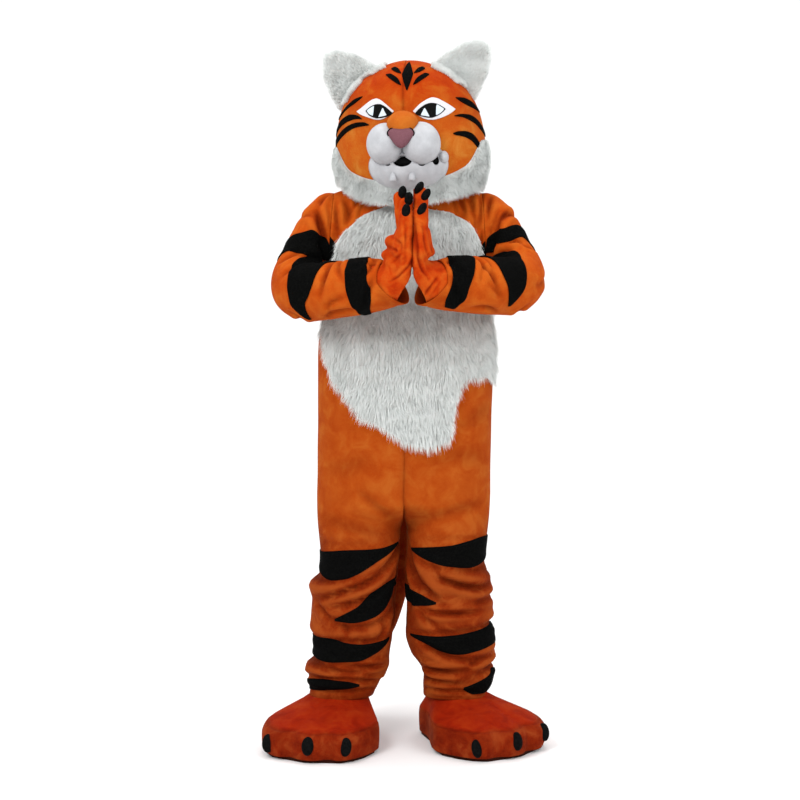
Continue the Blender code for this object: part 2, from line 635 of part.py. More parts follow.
def at_whole_columns(columns):
    """An outline table read at its ends and at the grid's own columns between them."""
    first, last = columns[0][0], columns[-1][0]
    whole = [column for column in range(math.ceil(first), math.floor(last) + 1)
             if first + LEAST_STEP < column < last - LEAST_STEP]
    return [[column, *row_at(columns, column)] for column in (first, *whole, last)]


def row_at_height(grid, column, height):
    """The fractional row of a grid where a column passes a height."""
    heights = [grid_at(grid, row, column)[2] for row in range(grid.shape[0])]
    return float(np.interp(height, heights, range(len(heights))))


def by_height(grid, table, middle=0):
    """An outline table of (eighths of a panel, lower, upper height) as columns and rows of the grid."""
    columns = []
    for eighths, low, high in table:
        column = middle + eighths * QUARTER / EIGHTHS
        columns.append((column, row_at_height(grid, column, low), row_at_height(grid, column, high)))
    return at_whole_columns(columns)


def joined(first, second):
    """Two surfaces side by side: the first one's columns reversed, then the second's."""
    return tuple(np.concatenate([a[:, :0:-1], b], axis=1) for a, b in zip(first, second))


def make_appliques(suit, sleeves):
    belly = joined(suit["front", -1], suit["front", 1])
    applique("belly", belly, by_height(belly[0], BELLY, QUARTER), BELLY_PILE, "white_fur")
    words = {1: "left", -1: "right"}
    for (place, side), table in LEG_STRIPES.items():
        around = tuple(np.concatenate([front, back[:, -2::-1]], axis=1)
                       for front, back in zip(suit["front", side], suit["back", side]))
        applique(f"stripe_{words[side]}_{place}", around, by_height(around[0], table), APPLIQUE, "black_plush")
    for (place, side), table in SLEEVE_STRIPES.items():
        applique(f"stripe_{words[side]}_{place}_sleeve", sleeves[side], at_whole_columns(table), APPLIQUE,
                 "black_plush", ring=True)


# ---------------------------------------------------------------- zip

def make_zip(suit):
    back = joined(suit["back", -1], suit["back", 1])
    edges = [(column, ZIP_BOTTOM, ZIP_TOP) for column in (-ZIP_HALF_COLUMNS, 0, ZIP_HALF_COLUMNS)]
    applique("zip_tape", back, by_height(back[0], edges, QUARTER), ZIP_TAPE, "zip_tape")
    row = row_at_height(back[0], QUARTER, SLIDER_HEIGHT)
    point = Vector(swayed(grid_at(back[0], row, QUARTER)))
    above = Vector(swayed(grid_at(back[0], row + 0.2, QUARTER)))
    up = (above - point).normalized()
    out = Vector((1.0, 0.0, 0.0)).cross(up) * -1
    if out.y < 0:
        out = -out
    across = up.cross(out).normalized()
    frame = Matrix((across, up, out)).transposed().to_4x4()
    frame.translation = point + out * (SEAM + ZIP_TAPE + SLIDER_LIFT)
    pose = bpy.data.objects.new("slider_pose", None)
    COSTUME.objects.link(pose)
    pose.parent = ROOT
    pose.matrix_local = frame
    wide, long, thick = SLIDER_SIZE
    post, post_height = SLIDER_POST
    radius, bar_height = PULL_BAR
    body = block("zip_slider", (0.0, 0.0, thick / 2), (wide / 2, long / 2, thick / 2))
    slider = add_piece("zip_slider", body, "zip_metal", pose)
    gap = PULL_SIZE[0] / 2 + SEAM
    for side, word in ((1, "left"), (-1, "right")):
        name = f"slider_post_{word}"
        ear = block(name, (side * (gap + post / 2), 0.0, thick + post_height / 2 - 0.001),
                    (post / 2, 0.003, post_height / 2 + 0.001))
        combine(slider, add_cutter(name, ear, pose), "UNION")
    bar = round_bar("slider_bar", thick + bar_height, radius, 2 * gap + post)
    combine(slider, add_cutter("slider_bar", bar, pose), "UNION")
    hinge = bpy.data.objects.new("pull_hinge", None)
    COSTUME.objects.link(hinge)
    hinge.parent = pose
    hinge.location = (0.0, 0.0, thick + bar_height)
    pull_wide, pull_long, pull_thick = PULL_SIZE
    eye = radius + 3 * SEAM + pull_thick / 2
    tab = block("zip_pull", (0.0, -pull_long / 2 - eye / 2, 0.0), (pull_wide / 2, pull_long / 2, pull_thick / 2))
    pull = add_piece("zip_pull", tab, "zip_metal", hinge)
    combine(pull, add_cutter("pull_eye", round_bar("pull_eye", 0.0, eye, pull_wide), hinge), "UNION")
    combine(pull, add_cutter("pull_hole", round_bar("pull_hole", 0.0, radius + SEAM, wide), hinge))


def round_bar(name, height, radius, length):
    """A bar along X at a height."""
    build = bmesh.new()
    bmesh.ops.create_cone(build, cap_ends=True, segments=8, radius1=1.0, radius2=1.0, depth=1.0)
    size = Matrix.Diagonal(Vector((radius, radius, length, 1.0)))
    return finished(name, build, Matrix.Translation((0.0, 0.0, height)) @ Matrix.Rotation(math.pi / 2, 4, "Y") @ size)


# ---------------------------------------------------------------- arms

def arm_rings(side):
    """Rings of one sleeve from the armhole to the cuff, [ring, column, xyz], the wrist's centre and
    the forearm's direction."""
    steps = [step / CHEST_ROWS for step in range(CHEST_ROWS + 1)]
    armhole = [armhole_point(step, -1) for step in steps] + [armhole_point(step, 1) for step in steps[-2:0:-1]]
    armhole = np.array(armhole)
    elbow = Vector(ELBOWS[side])
    wrist = Vector((side * PALM_X + WRIST_OUT, *WRIST))
    centre = Vector(armhole.mean(axis=0))
    upper = (elbow - centre).normalized()
    fore = (wrist - elbow).normalized()
    bend = upper.angle(fore)
    turn_radius = ARM_RADIUS + ELBOW_CREASE
    start = elbow - upper * turn_radius * math.tan(bend / 2)
    axis = upper.cross(fore).normalized()
    pivot = start + axis.cross(upper).normalized() * turn_radius
    outward = Vector((1.0, 0.0, 0.0))
    turn = outward.rotation_difference(upper).to_matrix()
    under, front = turn @ Vector((0.0, 0.0, -1.0)), turn @ Vector((0.0, -1.0, 0.0))
    angles = [2 * math.pi * column / ARM_COLUMNS for column in range(ARM_COLUMNS)]
    spokes = [under * math.cos(angle) + front * math.sin(angle) for angle in angles]
    first_bend = np.array([start + spoke * ARM_RADIUS for spoke in spokes])
    rings = []
    leave = SHOULDER_PULL * np.array((1.45, -0.05, 0.20))
    arrive = SHOULDER_PULL * np.array(upper)
    for ring in range(SHOULDER_RINGS):
        t = ring / SHOULDER_RINGS
        rings.append((2 * t**3 - 3 * t**2 + 1) * armhole + (t**3 - 2 * t**2 + t) * leave
                     + (3 * t**2 - 2 * t**3) * first_bend + (t**3 - t**2) * arrive)
    for ring in range(ELBOW_RINGS + 1):
        turned = Matrix.Rotation(bend * ring / ELBOW_RINGS, 3, axis)
        rings.append(np.array([pivot + turned @ (Vector(point) - pivot) for point in first_bend]))
    turned = Matrix.Rotation(bend, 3, axis)
    middle = pivot + turned @ (start - pivot)
    for share, radius in FOREARM:
        at = middle.lerp(wrist, share)
        low = CUFF_LENGTH * radius * share ** 6
        rings.append(np.array([at + (turned @ spoke) * radius + fore * low * max(-(turned @ spoke).z, 0.0)
                               for spoke in spokes]))
    rings = np.array(rings)
    rings[0, :, 0] += SEAM
    rings[..., 0] *= side
    return rings, wrist, fore


def make_sleeves():
    surfaces = {}
    for side, word in ((1, "left"), (-1, "right")):
        rings, _, _ = arm_rings(side)
        normals = grid_normals(rings, ring=True) * side
        if np.dot(normals[6, 0], rings[6, 0] - rings[6].mean(axis=0)) < 0:
            normals = -normals
        normals[0] = laid_in_armhole(normals[0], side)
        wall = mesh_of_wall(f"sleeve_{word}", swayed(rings), swayed(rings - PLUSH * normals), ring=True)
        add_piece(f"sleeve_{word}", wall, "orange_plush", ROOT)
        surfaces[side] = (rings, normals)
    return surfaces


# ---------------------------------------------------------------- simple solids

def ellipsoid(name, centre, radii, columns=12, rows=8, grow=0.0, turn=None):
    """An ellipsoid's mesh; grow moves its surface out."""
    build = bmesh.new()
    bmesh.ops.create_uvsphere(build, u_segments=columns, v_segments=rows, radius=1.0)
    size = Matrix.Diagonal(Vector((*(radius + grow for radius in radii), 1.0)))
    place = Matrix.Translation(centre) @ (turn.to_4x4() if turn else Matrix.Identity(4)) @ size
    return finished(name, build, place)


def capsule(name, start, end, radius, columns=7, rows=6):
    """A finger: a ball at each end of a straight stretch."""
    start, end = Vector(start), Vector(end)
    build = bmesh.new()
    bmesh.ops.create_uvsphere(build, u_segments=columns, v_segments=rows, radius=radius)
    length = (end - start).length
    for vertex in build.verts:
        if vertex.co.z > radius * 0.1:
            vertex.co.z += length
    turn = (end - start).to_track_quat("Z", "Y").to_matrix().to_4x4()
    return finished(name, build, Matrix.Translation(start) @ turn)


# ---------------------------------------------------------------- head

def head_point(height, angle, grow=0.0):
    """A point of the head's outer surface at an angle from the front, in the head's frame."""
    half_width, front, back = (size + grow for size in row_at(HEAD, height))
    power = 2 / HEAD_ROUNDNESS
    depth = front if math.cos(angle) > 0 else back
    return np.array((half_width * round_power(math.sin(angle), power),
                     -depth * round_power(math.cos(angle), power), height))


def head_grid(side, grow=0.0):
    """Half the head, [row, column, xyz], from its lower edge to the crown and from front to back."""
    grid = []
    top = HEAD[-1][0] + grow
    for rise in HEAD_RISES:
        row = []
        for column in range(HEAD_COLUMNS + 1):
            share = column / HEAD_COLUMNS
            bottom = HEAD_BOTTOM[0] + (HEAD_BOTTOM[1] - HEAD_BOTTOM[0]) * smooth(share)
            height = bottom + (top - bottom) * rise
            point = head_point(height, share * math.pi, grow)
            point[0] *= side
            row.append(point)
        grid.append(row)
    return np.array(grid)


def head_normals(grid, side):
    mirror = np.array((-1.0, 1.0, 1.0))
    wide = np.concatenate([(grid[:, 1] * mirror)[:, None], grid, (grid[:, -2] * mirror)[:, None]], axis=1)
    normals = unit(side * np.cross(wide[:, 2:] - wide[:, :-2], np.gradient(grid, axis=0)))
    normals[-1] = (0.0, 0.0, 1.0)
    return normals


def head_place(x, height):
    """Fractional column and row of the head's front at a width and a height."""
    half_width = row_at(HEAD, height)[0]
    angle = math.asin(min(abs(x) / half_width, 1.0) ** (HEAD_ROUNDNESS / 2))
    share = angle / math.pi
    bottom = HEAD_BOTTOM[0] + (HEAD_BOTTOM[1] - HEAD_BOTTOM[0]) * smooth(share)
    rise = (height - bottom) / (HEAD[-1][0] - bottom)
    return share * HEAD_COLUMNS, float(np.interp(rise, HEAD_RISES, range(len(HEAD_RISES))))


def head_form(name, surfaces, grow):
    """The head's outer form as a closed solid, to cut what is sewn on it."""
    (left, left_ways), (right, right_ways) = surfaces[1], surfaces[-1]
    grid = np.concatenate([left, right[:, -2:0:-1]], axis=1)
    ways = np.concatenate([left_ways, right_ways[:, -2:0:-1]], axis=1)
    rings = grid + grow * ways
    return mesh_of_rings(name, rings[:-1], ((0.0, 0.0, FORM_FLOOR), (0.0, 0.0, HEAD[-1][0] + grow)),
                         (grid[:-1], ways[:-1]))


FORM_FLOOR = -0.30  # how deep the form that cuts the jaw reaches
MUZZLE_PAD = ((0.0465, -0.176, -0.058), (0.0500, 0.066, 0.0510))
BRIDGE = ((0.0, -0.196, -0.012), (0.0415, 0.052, 0.036))
JAW = ((0.004, -0.118, -0.108), (0.108, 0.086, 0.076))
MOUTH = ((0.0, -0.170, -0.112), (0.056, 0.090, 0.017))
MOUTH_GAP = ((0.0, -0.215, -0.106), (0.026, 0.070, 0.012))
NOSE_CORNERS = ((-0.033, 0.0), (-0.024, 0.013), (0.0, 0.017), (0.024, 0.013), (0.033, 0.0), (0.027, -0.013),
                (0.013, -0.030), (0.0, -0.037), (-0.013, -0.030), (-0.027, -0.013))
NOSE_PLACE = (0.0, -0.238, -0.040)
NOSE_DEPTH = 0.024
TOOTH_SPREAD = 0.026
TOOTH_PLACE = (-0.1955, -0.136)
TOOTH_SIZE = (0.0085, 0.022)
TOOTH_TIP = 0.0015

# Eye outline: share along the eye from its inner to its outer corner, lower and upper heights.
EYE = ((0.0, 0.013, 0.0135), (0.12, 0.002, 0.026), (0.3, -0.003, 0.040), (0.5, -0.003, 0.048),
       (0.7, 0.002, 0.046), (0.86, 0.010, 0.036), (1.0, 0.0215, 0.022))
EYE_SPAN = (0.020, 0.126)
EYE_HEIGHT = 0.003
EYE_THICKNESS = 0.003


def make_head():
    pose = bpy.data.objects.new("head_pose", None)
    COSTUME.objects.link(pose)
    pose.parent = ROOT
    pose.location = HEAD_CENTRE
    pose.rotation_euler = (0.0, HEAD_ROLL, HEAD_YAW)
    mouth = add_cutter("mouth_form", ellipsoid("mouth_form", *MOUTH, columns=16), pose)
    surfaces = {}
    for side, word in ((1, "left"), (-1, "right")):
        grid = head_grid(side)
        normals = head_normals(grid, side)
        outer = pulled_in(grid, ("first_column", "last_column"))
        inner = pulled_in(grid - HEAD_WALL * normals, ("first_column", "last_column"))
        inner[-2:, :, 2] = np.minimum(inner[-2:, :, 2], HEAD[-1][0] - HEAD_WALL)
        shell = add_piece(f"head_{word}", mesh_of_wall(f"head_{word}", outer, inner, ring=False),
                          "orange_plush", pose)
        combine(shell, mouth)
        surfaces[side] = (grid, normals)
    form = add_cutter("head_form", head_form("head_form", surfaces, SEAM), pose)
    make_mouth(pose, surfaces)
    jaw_form = make_muzzle(pose, form)
    make_eyes(pose, surfaces)
    make_ears(pose, form)
    make_ruff(pose, (form, jaw_form))
    return pose, surfaces


def make_mouth(pose, surfaces):
    """The dark mesh that the wearer sees through, set in the mouth opening."""
    last = 4
    halves = [surfaces[-1][part][1:, last:0:-1] for part in (0, 1)], [surfaces[1][part][1:, :last + 1] for part in (0, 1)]
    grid, normals = (np.concatenate([halves[0][part], halves[1][part]], axis=1)[:5] for part in (0, 1))
    mesh = mesh_of_wall("mouth_mesh", grid - 0.002 * normals, grid - 0.004 * normals, ring=False)
    panel = add_piece("mouth_mesh", mesh, "mouth_mesh", pose)
    inside = add_cutter("mouth_inside", ellipsoid("mouth_inside", *MOUTH, columns=16, grow=-SEAM), pose)
    combine(panel, inside, "INTERSECT")


def make_muzzle(pose, form):
    pads = []
    (across, *rest), radii = MUZZLE_PAD
    for side, word in ((1, "left"), (-1, "right")):
        centre = (side * across, *rest)
        pad = add_piece(f"muzzle_{word}", ellipsoid(f"muzzle_{word}", centre, radii, 12, 9), "white_plush", pose)
        half = add_cutter(f"muzzle_half_{word}",
                          block(f"muzzle_half_{word}", (-side * 0.1, -0.2, -0.06), (0.1 + SEAM / 2, 0.15, 0.1)), pose)
        combine(combine(pad, form), half)
        pads.append(add_cutter(f"pad_form_{word}", ellipsoid(f"pad_form_{word}", centre, radii, 12, 9, SEAM), pose))
    bridge = add_piece("nose_bridge", ellipsoid("nose_bridge", *BRIDGE, 10, 6), "orange_plush", pose)
    bridge_form = add_cutter("bridge_form", ellipsoid("bridge_form", *BRIDGE, 10, 6, SEAM), pose)
    nose = add_piece("nose", nose_mesh(), "nose_felt", pose)
    jaw = add_piece("jaw", ellipsoid("jaw", *JAW, columns=12, rows=8), "white_plush", pose)
    gap = add_cutter("mouth_gap", ellipsoid("mouth_gap", *MOUTH_GAP), pose)
    for piece, cutters in ((bridge, [form, *pads]), (nose, [form, *pads, bridge_form]),
                           (jaw, [form, *pads, gap])):
        for cutter in cutters:
            combine(piece, cutter)
    jaw_form = add_cutter("jaw_form", ellipsoid("jaw_form", *JAW, columns=12, rows=8, grow=SEAM), pose)
    for side, word in ((1, "left"), (-1, "right")):
        tooth = add_piece(f"tooth_{word}", tooth_mesh(f"tooth_{word}", side), "white_plush", pose)
        combine(tooth, jaw_form)
    return jaw_form


def block(name, centre, half_sizes):
    build = bmesh.new()
    bmesh.ops.create_cube(build, size=2.0)
    return finished(name, build, Matrix.Translation(centre) @ Matrix.Diagonal(Vector((*half_sizes, 1.0))))


def nose_mesh():
    """A rounded triangle, crowned towards the front."""
    x, y, z = NOSE_PLACE
    rings = []
    for share, step in ((0.9, 0.0), (1.0, 0.35), (0.92, 0.7), (0.62, 0.93)):
        rings.append([(x + share * across, y - NOSE_DEPTH * step + NOSE_DEPTH * 0.6, z + share * up)
                      for across, up in NOSE_CORNERS])
    return mesh_of_rings("nose", rings, (None, (x, y - NOSE_DEPTH * 0.4, z - 0.006)))


def tooth_mesh(name, side):
    radius, height = TOOTH_SIZE
    build = bmesh.new()
    bmesh.ops.create_cone(build, cap_ends=True, segments=8, radius1=radius, radius2=TOOTH_TIP, depth=height)
    return finished(name, build, Matrix.Translation((JAW[0][0] + side * TOOTH_SPREAD, *TOOTH_PLACE)))


def make_eyes(pose, surfaces):
    for side, word in ((1, "left"), (-1, "right")):
        columns = []
        for share, low, high in EYE:
            x = EYE_SPAN[0] + (EYE_SPAN[1] - EYE_SPAN[0]) * share
            column, lower = head_place(x, EYE_HEIGHT + low)
            upper = head_place(x, EYE_HEIGHT + high)[1]
            columns.append((column, lower, upper))
        applique(f"eye_{word}", surfaces[side], columns, EYE_THICKNESS, "white_plush", sway=False, parent=pose)


def make_ears(pose, form):
    base, tip = Vector(EAR_BASE), Vector(EAR_TIP)
    along = (tip - base).normalized()
    across = Vector((along.y, -along.x))
    for side, word in ((1, "left"), (-1, "right")):
        rings = []
        for share, wide, thick, cup in EAR_SHAPE:
            middle = base + (tip - base) * share
            ring = []
            for column in range(EAR_COLUMNS):
                angle = 2 * math.pi * column / EAR_COLUMNS
                out = math.cos(angle)
                place = middle + across * EAR_HALF_WIDTH * wide * out
                deep = EAR_Y + thick / 2 * math.sin(angle) + cup * (1 - out * out)
                ring.append((side * place.x, deep, place.y))
            rings.append(ring)
        ear = add_piece(f"ear_{word}", mesh_of_rings(f"ear_{word}", rings, (None, (side * tip.x, EAR_Y, tip.y))),
                        "white_fur", pose)
        combine(ear, form, creased=False)


def make_ruff(pose, forms):
    """The fur band round the head's lower edge, in two halves."""
    for side, word in ((1, "left"), (-1, "right")):
        outer, inner = [], []
        for share, thick, flare in RUFF_WALL:
            rows = [], []
            for column in range(HEAD_COLUMNS + 1):
                degrees = 180 * column / HEAD_COLUMNS
                top, bottom = row_at(RUFF, degrees)
                angle = math.radians(degrees)
                bottom -= RUFF_DROP[side] * math.sin(angle) ** 6
                height = top + (bottom - top) * share
                for row, grow in zip(rows, (flare + thick, flare - RUFF_SEAT)):
                    point = head_point(height, angle, grow)
                    row.append((side * point[0], point[1], point[2]))
            outer.append(rows[0])
            inner.append(rows[1])
        edges = ("first_column", "last_column")
        outer, inner = pulled_in(np.array(outer), edges), pulled_in(np.array(inner), edges)
        mesh = mesh_of_wall(f"ruff_{word}", outer, inner, ring=False)
        ruff = add_piece(f"ruff_{word}", mesh, "white_fur", pose)
        for form in forms:
            combine(ruff, form)


# ---------------------------------------------------------------- gloves

def glove_rings(side, shrink=0.0):
    """Rings of a glove's hand from inside the cuff to the knuckles, in the suit's frame. shrink moves
    them inwards and makes the first ring stand further out, for the hollow."""
    _, wrist, fore = arm_rings(side)
    radius = WRIST_RADIUS - shrink
    up = Vector((0.0, 0.0, 1.0))
    rise = (up - fore * fore.dot(up)).normalized()
    axis = fore.cross(rise).normalized()
    pivot = wrist + rise * (WRIST_RADIUS + WRIST_CREASE)
    angles = [2 * math.pi * column / GLOVE_COLUMNS for column in range(GLOVE_COLUMNS)]
    spokes = [axis * math.cos(angle) + rise * math.sin(angle) for angle in angles]
    rings = []
    for back in (0.045 + (0.02 if shrink else 0.0), 0.012):
        rings.append([wrist - fore * back + spoke * radius for spoke in spokes])
    bend = fore.angle(up)
    plane = side * PALM_X
    for step in range(WRIST_STEPS + 1):
        turned = Matrix.Rotation(bend * step / WRIST_STEPS, 3, axis)
        centre = pivot + turned @ (wrist - pivot)
        ring = [centre + (turned @ spoke) * radius for spoke in spokes]
        if step:
            flat = smooth(step / WRIST_STEPS)
            ring = [centre + Vector(((point - centre).x * (1 - flat * (1 - (PALM_HALF[0] - shrink) / radius)),
                                     (point - centre).y, (point - centre).z)) for point in ring]
        rings.append(ring)
    turned = Matrix.Rotation(bend, 3, axis)
    ways = [turned @ spoke for spoke in spokes]
    centre_y = (pivot + turned @ (wrist - pivot)).y
    for height, thick, wide in PALM_RINGS:
        middle = Vector((plane + PALM_HALF[0] + 0.001, centre_y, height))
        rings.append([middle + Vector((way.x * (PALM_HALF[0] * thick - shrink), way.y * (PALM_HALF[1] * wide - shrink),
                                       0.0)) for way in ways])
    for ring in rings:
        for point in ring:
            point.x = max(point.x, plane + 0.0008 + shrink)
    return [[(side * point.x, point.y, point.z) for point in ring] for ring in rings]


def make_gloves():
    for side, word in ((1, "left"), (-1, "right")):
        name = f"glove_{word}"
        rings = glove_rings(side)
        glove = add_piece(name, mesh_of_rings(name, swayed(rings)), "orange_plush", ROOT)
        hollow = add_cutter(f"{name}_hollow", mesh_of_rings(f"{name}_hollow", swayed(glove_rings(side, GLOVE_WALL))),
                            ROOT)
        tips = []
        hollows = [hollow]
        for finger, finger_side, root_y, root_z, tip_x, tip_y, tip_z in FINGERS:
            if finger_side != side:
                continue
            root = Vector(swayed((PALM_X + side * (PALM_HALF[0] + 0.001), root_y, root_z)))
            tip = Vector(swayed((PALM_X + side * tip_x, tip_y, tip_z - FINGER_RADIUS)))
            radius = FINGER_RADIUS
            label = f"{name}_{finger}"
            combine(glove, add_cutter(label, capsule(label, root, tip, radius), ROOT), "UNION")
            hollows.append(add_cutter(f"{label}_hollow",
                                      capsule(f"{label}_hollow", root, tip, radius - GLOVE_WALL, 6, 4), ROOT))
            tips.append((finger, root, tip))
        for hollow in hollows:
            combine(glove, hollow)
        for finger, root, tip in tips:
            if finger == "thumb":
                continue
            way = (tip - root).normalized()
            lean = Vector((side * CLAW_LEAN[side], -0.25, 1.0)).normalized()
            turn = lean.to_track_quat("Z", "Y").to_matrix()
            claw_name = f"claw_{word}_{finger}"
            centre = tip + way * 0.007 + Vector((side * 0.003, -0.012, 0.005))
            claw = add_piece(claw_name, ellipsoid(claw_name, centre, CLAW_RADII, 7, 5, turn=turn), "claw_vinyl", ROOT)
            seat = f"{claw_name}_seat"
            combine(claw, add_cutter(seat, capsule(seat, root, tip, FINGER_RADIUS + SEAM), ROOT))


# ---------------------------------------------------------------- feet and tail

def foot_outline(angle):
    """A point of the foot's outline at an angle from the toes, round the middle of the foot."""
    y = FOOT_MIDDLE - FOOT_HALF_LENGTH * round_power(math.cos(angle), 0.82)
    toes = smooth((0.035 - y) / 0.16)
    half = FOOT_HEEL_HALF + (FOOT_TOE_HALF - FOOT_HEEL_HALF) * toes
    x = half * round_power(math.sin(angle), 0.72)
    front = smooth((-0.14 - y) / 0.09)
    dent = TOE_DENT * front * (0.5 - 0.5 * math.cos(2 * math.pi * x / TOE_PITCH)) if abs(x) < TOE_PITCH else 0.0
    return np.array((x, y + dent))


def foot_grid(side):
    x, _, turn = FOOT_PLACES[side]
    ankle_x, back = ANKLE_PLACES[side]
    aside = Matrix.Rotation(-math.radians(turn), 2) @ Vector((ankle_x - x, back))
    grid = []
    for height, share in FOOT_PROFILE:
        row = []
        for column in range(FOOT_COLUMNS):
            angle = 2 * math.pi * column / FOOT_COLUMNS
            out = foot_outline(angle)
            ankle = np.array((aside.x + ANKLE_HALF[0] * math.sin(angle), aside.y - ANKLE_HALF[1] * math.cos(angle)))
            row.append((*(ankle + (out - ankle) * share), height))
        grid.append(row)
    return np.array(grid)


def make_feet():
    for side, word in ((1, "left"), (-1, "right")):
        x, y, turn = FOOT_PLACES[side]
        grid = foot_grid(side)
        normals = grid_normals(grid, ring=True)
        if normals[1, 0, 1] > 0:
            normals = -normals
        pose = bpy.data.objects.new(f"foot_{word}_pose", None)
        COSTUME.objects.link(pose)
        pose.parent = ROOT
        pose.location = (x, y, 0.0)
        pose.rotation_euler = (0.0, 0.0, math.radians(turn))
        add_piece(f"foot_{word}", mesh_of_wall(f"foot_{word}", grid, grid - FOOT_WALL * normals, ring=True),
                  "foot_plush", pose)
        outline = [foot_outline(2 * math.pi * column / FOOT_COLUMNS) * 0.94 for column in range(FOOT_COLUMNS)]
        rings = [[(*point, height) for point in outline] for height in (0.0, SOLE_THICKNESS)]
        add_piece(f"sole_{word}", mesh_of_rings(f"sole_{word}", rings), "sole_rubber", pose)
        seat = add_cutter(f"foot_{word}_form", mesh_of_rings(f"foot_{word}_form", grid + SEAM * normals), pose)
        for toe, place in (("inner", -side), ("middle", 0), ("outer", side)):
            name = f"claw_{word}_{toe}_toe"
            at_x = place * TOE_PITCH * 0.98
            at_y = -0.287 if place == 0 else -0.262
            turned = Matrix.Rotation(math.radians(-12), 3, "X")
            claw = add_piece(name, ellipsoid(name, (at_x, at_y, 0.047), (0.0125, 0.012, 0.0215), 7, 4, turn=turned),
                             "claw_vinyl", pose)
            combine(claw, seat)


def make_tail(surfaces):
    points = np.array(TAIL)
    path = points[:, :3]
    ways = unit(np.gradient(path, axis=0))
    rings = []
    for (x, y, z, radius), way in zip(TAIL, ways):
        across = Vector((1.0, 0.0, 0.0))
        across = (across - Vector(way) * across.dot(Vector(way))).normalized()
        other = Vector(way).cross(across)
        rings.append([Vector((x, y, z)) + radius * (across * math.cos(2 * math.pi * column / TAIL_COLUMNS)
                                                     + other * math.sin(2 * math.pi * column / TAIL_COLUMNS))
                      for column in range(TAIL_COLUMNS)])
    tail = add_piece("tail", mesh_of_rings("tail", swayed(rings), (None, swayed(TAIL_TIP))), "orange_plush", ROOT)
    left, right = surfaces["back", 1], surfaces["back", -1]
    low, high = int(row_of(TAIL_SEAT[0])), math.ceil(row_of(TAIL_SEAT[1])) + 1
    grid, normals = (np.concatenate([right[part][low:high, :0:-1], left[part][low:high]], axis=1)
                     for part in (0, 1))
    seat = add_cutter("tail_seat", mesh_of_wall("tail_seat", swayed(grid + SEAM * normals),
                                                swayed(grid - 0.05 * normals), ring=False), ROOT)
    combine(tail, seat)


# ---------------------------------------------------------------- build

cleared_scene()
COSTUME = new_collection("tiger_mascot_costume")
CUTTERS = new_collection("cutters")
MATERIALS = {name: new_material(name, *look) for name, look in CLOTHS.items()}
ROOT = bpy.data.objects.new("wearer_shoulders", None)
COSTUME.objects.link(ROOT)
ROOT.location = (0.0, 0.0, -HOLD_HEIGHT)

SUIT = make_suit()
SLEEVES = make_sleeves()
HEAD_POSE, HEAD_SURFACES = make_head()
make_gloves()
make_feet()
make_tail(SUIT)
make_appliques(SUIT, SLEEVES)
make_zip(SUIT)
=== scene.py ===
"""The looks of the tiger mascot costume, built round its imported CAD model.

Metres, in the CAD's own frame: +Z up, the face towards -Y, +X the wearer's left. Heights in the tables
are above the floor, which lies at FLOOR, or above the head's centre. Tables of folds and outlines give places
in eighths of a panel's width (8 is the side seam), or in columns and rings of a sleeve. The longer tables
are in millimetres, and metres() turns their columns into metres where they are read."""

import math

import bmesh
import bpy
import numpy as np
from mathutils import Matrix, Vector


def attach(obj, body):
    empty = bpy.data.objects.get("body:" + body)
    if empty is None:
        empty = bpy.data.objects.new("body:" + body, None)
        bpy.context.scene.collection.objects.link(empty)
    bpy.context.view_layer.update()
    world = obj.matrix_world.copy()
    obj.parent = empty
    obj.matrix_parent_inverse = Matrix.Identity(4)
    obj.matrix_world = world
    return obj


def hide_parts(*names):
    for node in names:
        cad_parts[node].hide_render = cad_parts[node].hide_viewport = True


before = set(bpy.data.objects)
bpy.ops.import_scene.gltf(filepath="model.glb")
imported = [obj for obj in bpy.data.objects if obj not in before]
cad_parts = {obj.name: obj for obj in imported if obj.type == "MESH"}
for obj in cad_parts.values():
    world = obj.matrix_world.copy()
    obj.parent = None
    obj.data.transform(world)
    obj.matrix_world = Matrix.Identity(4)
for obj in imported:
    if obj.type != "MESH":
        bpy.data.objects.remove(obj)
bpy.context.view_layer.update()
FLOOR = -1.49
SEAM = 0.0003
SIDES = ((1, "left"), (-1, "right"))
WORDS = dict(SIDES)
DICE = np.random.default_rng(7)


def metres(rows, *columns):
    """A table as an array, with the given columns, or all, turned from millimetres into metres."""
    made = np.array(rows, float)
    made[:, list(columns) or slice(None)] /= 1000
    return made


# ---------------------------------------------------------------- sizes shared with the CAD

CLOTH = 0.0024
# How far the costume leans to its left for each metre of height, and how far its hems stand off that.
SWAY, HEM_SHIFT, HEM_SHIFT_HEIGHT = 0.0145, 0.006, 0.35
ROUNDNESS = 2.25
CROTCH_FRONT, CROTCH, UNDERARM, SHOULDER = 0.66, 0.575, 1.22, 1.487

# Sections of one leg, metres: height, inner edge, outer edge, depth in front of and behind the side seam.
LEG = (
    (0.110, 0.072, 0.240, 0.084, 0.090), (0.140, 0.064, 0.245, 0.092, 0.096),
    (0.170, 0.056, 0.252, 0.103, 0.104), (0.200, 0.042, 0.2545, 0.110, 0.108),
    (0.235, 0.030, 0.252, 0.112, 0.110), (0.270, 0.019, 0.249, 0.110, 0.109),
    (0.310, 0.010, 0.248, 0.113, 0.111), (0.350, 0.004, 0.247, 0.117, 0.113),
    (0.390, 0.0022, 0.246, 0.120, 0.115), (0.430, 0.0018, 0.247, 0.122, 0.117),
    (0.475, 0.0018, 0.243, 0.122, 0.120), (0.525, 0.0018, 0.238, 0.125, 0.126),
    (CROTCH, 0.0018, 0.236, 0.129, 0.134), (CROTCH_FRONT, 0.0018, 0.236, 0.134, 0.142),
)
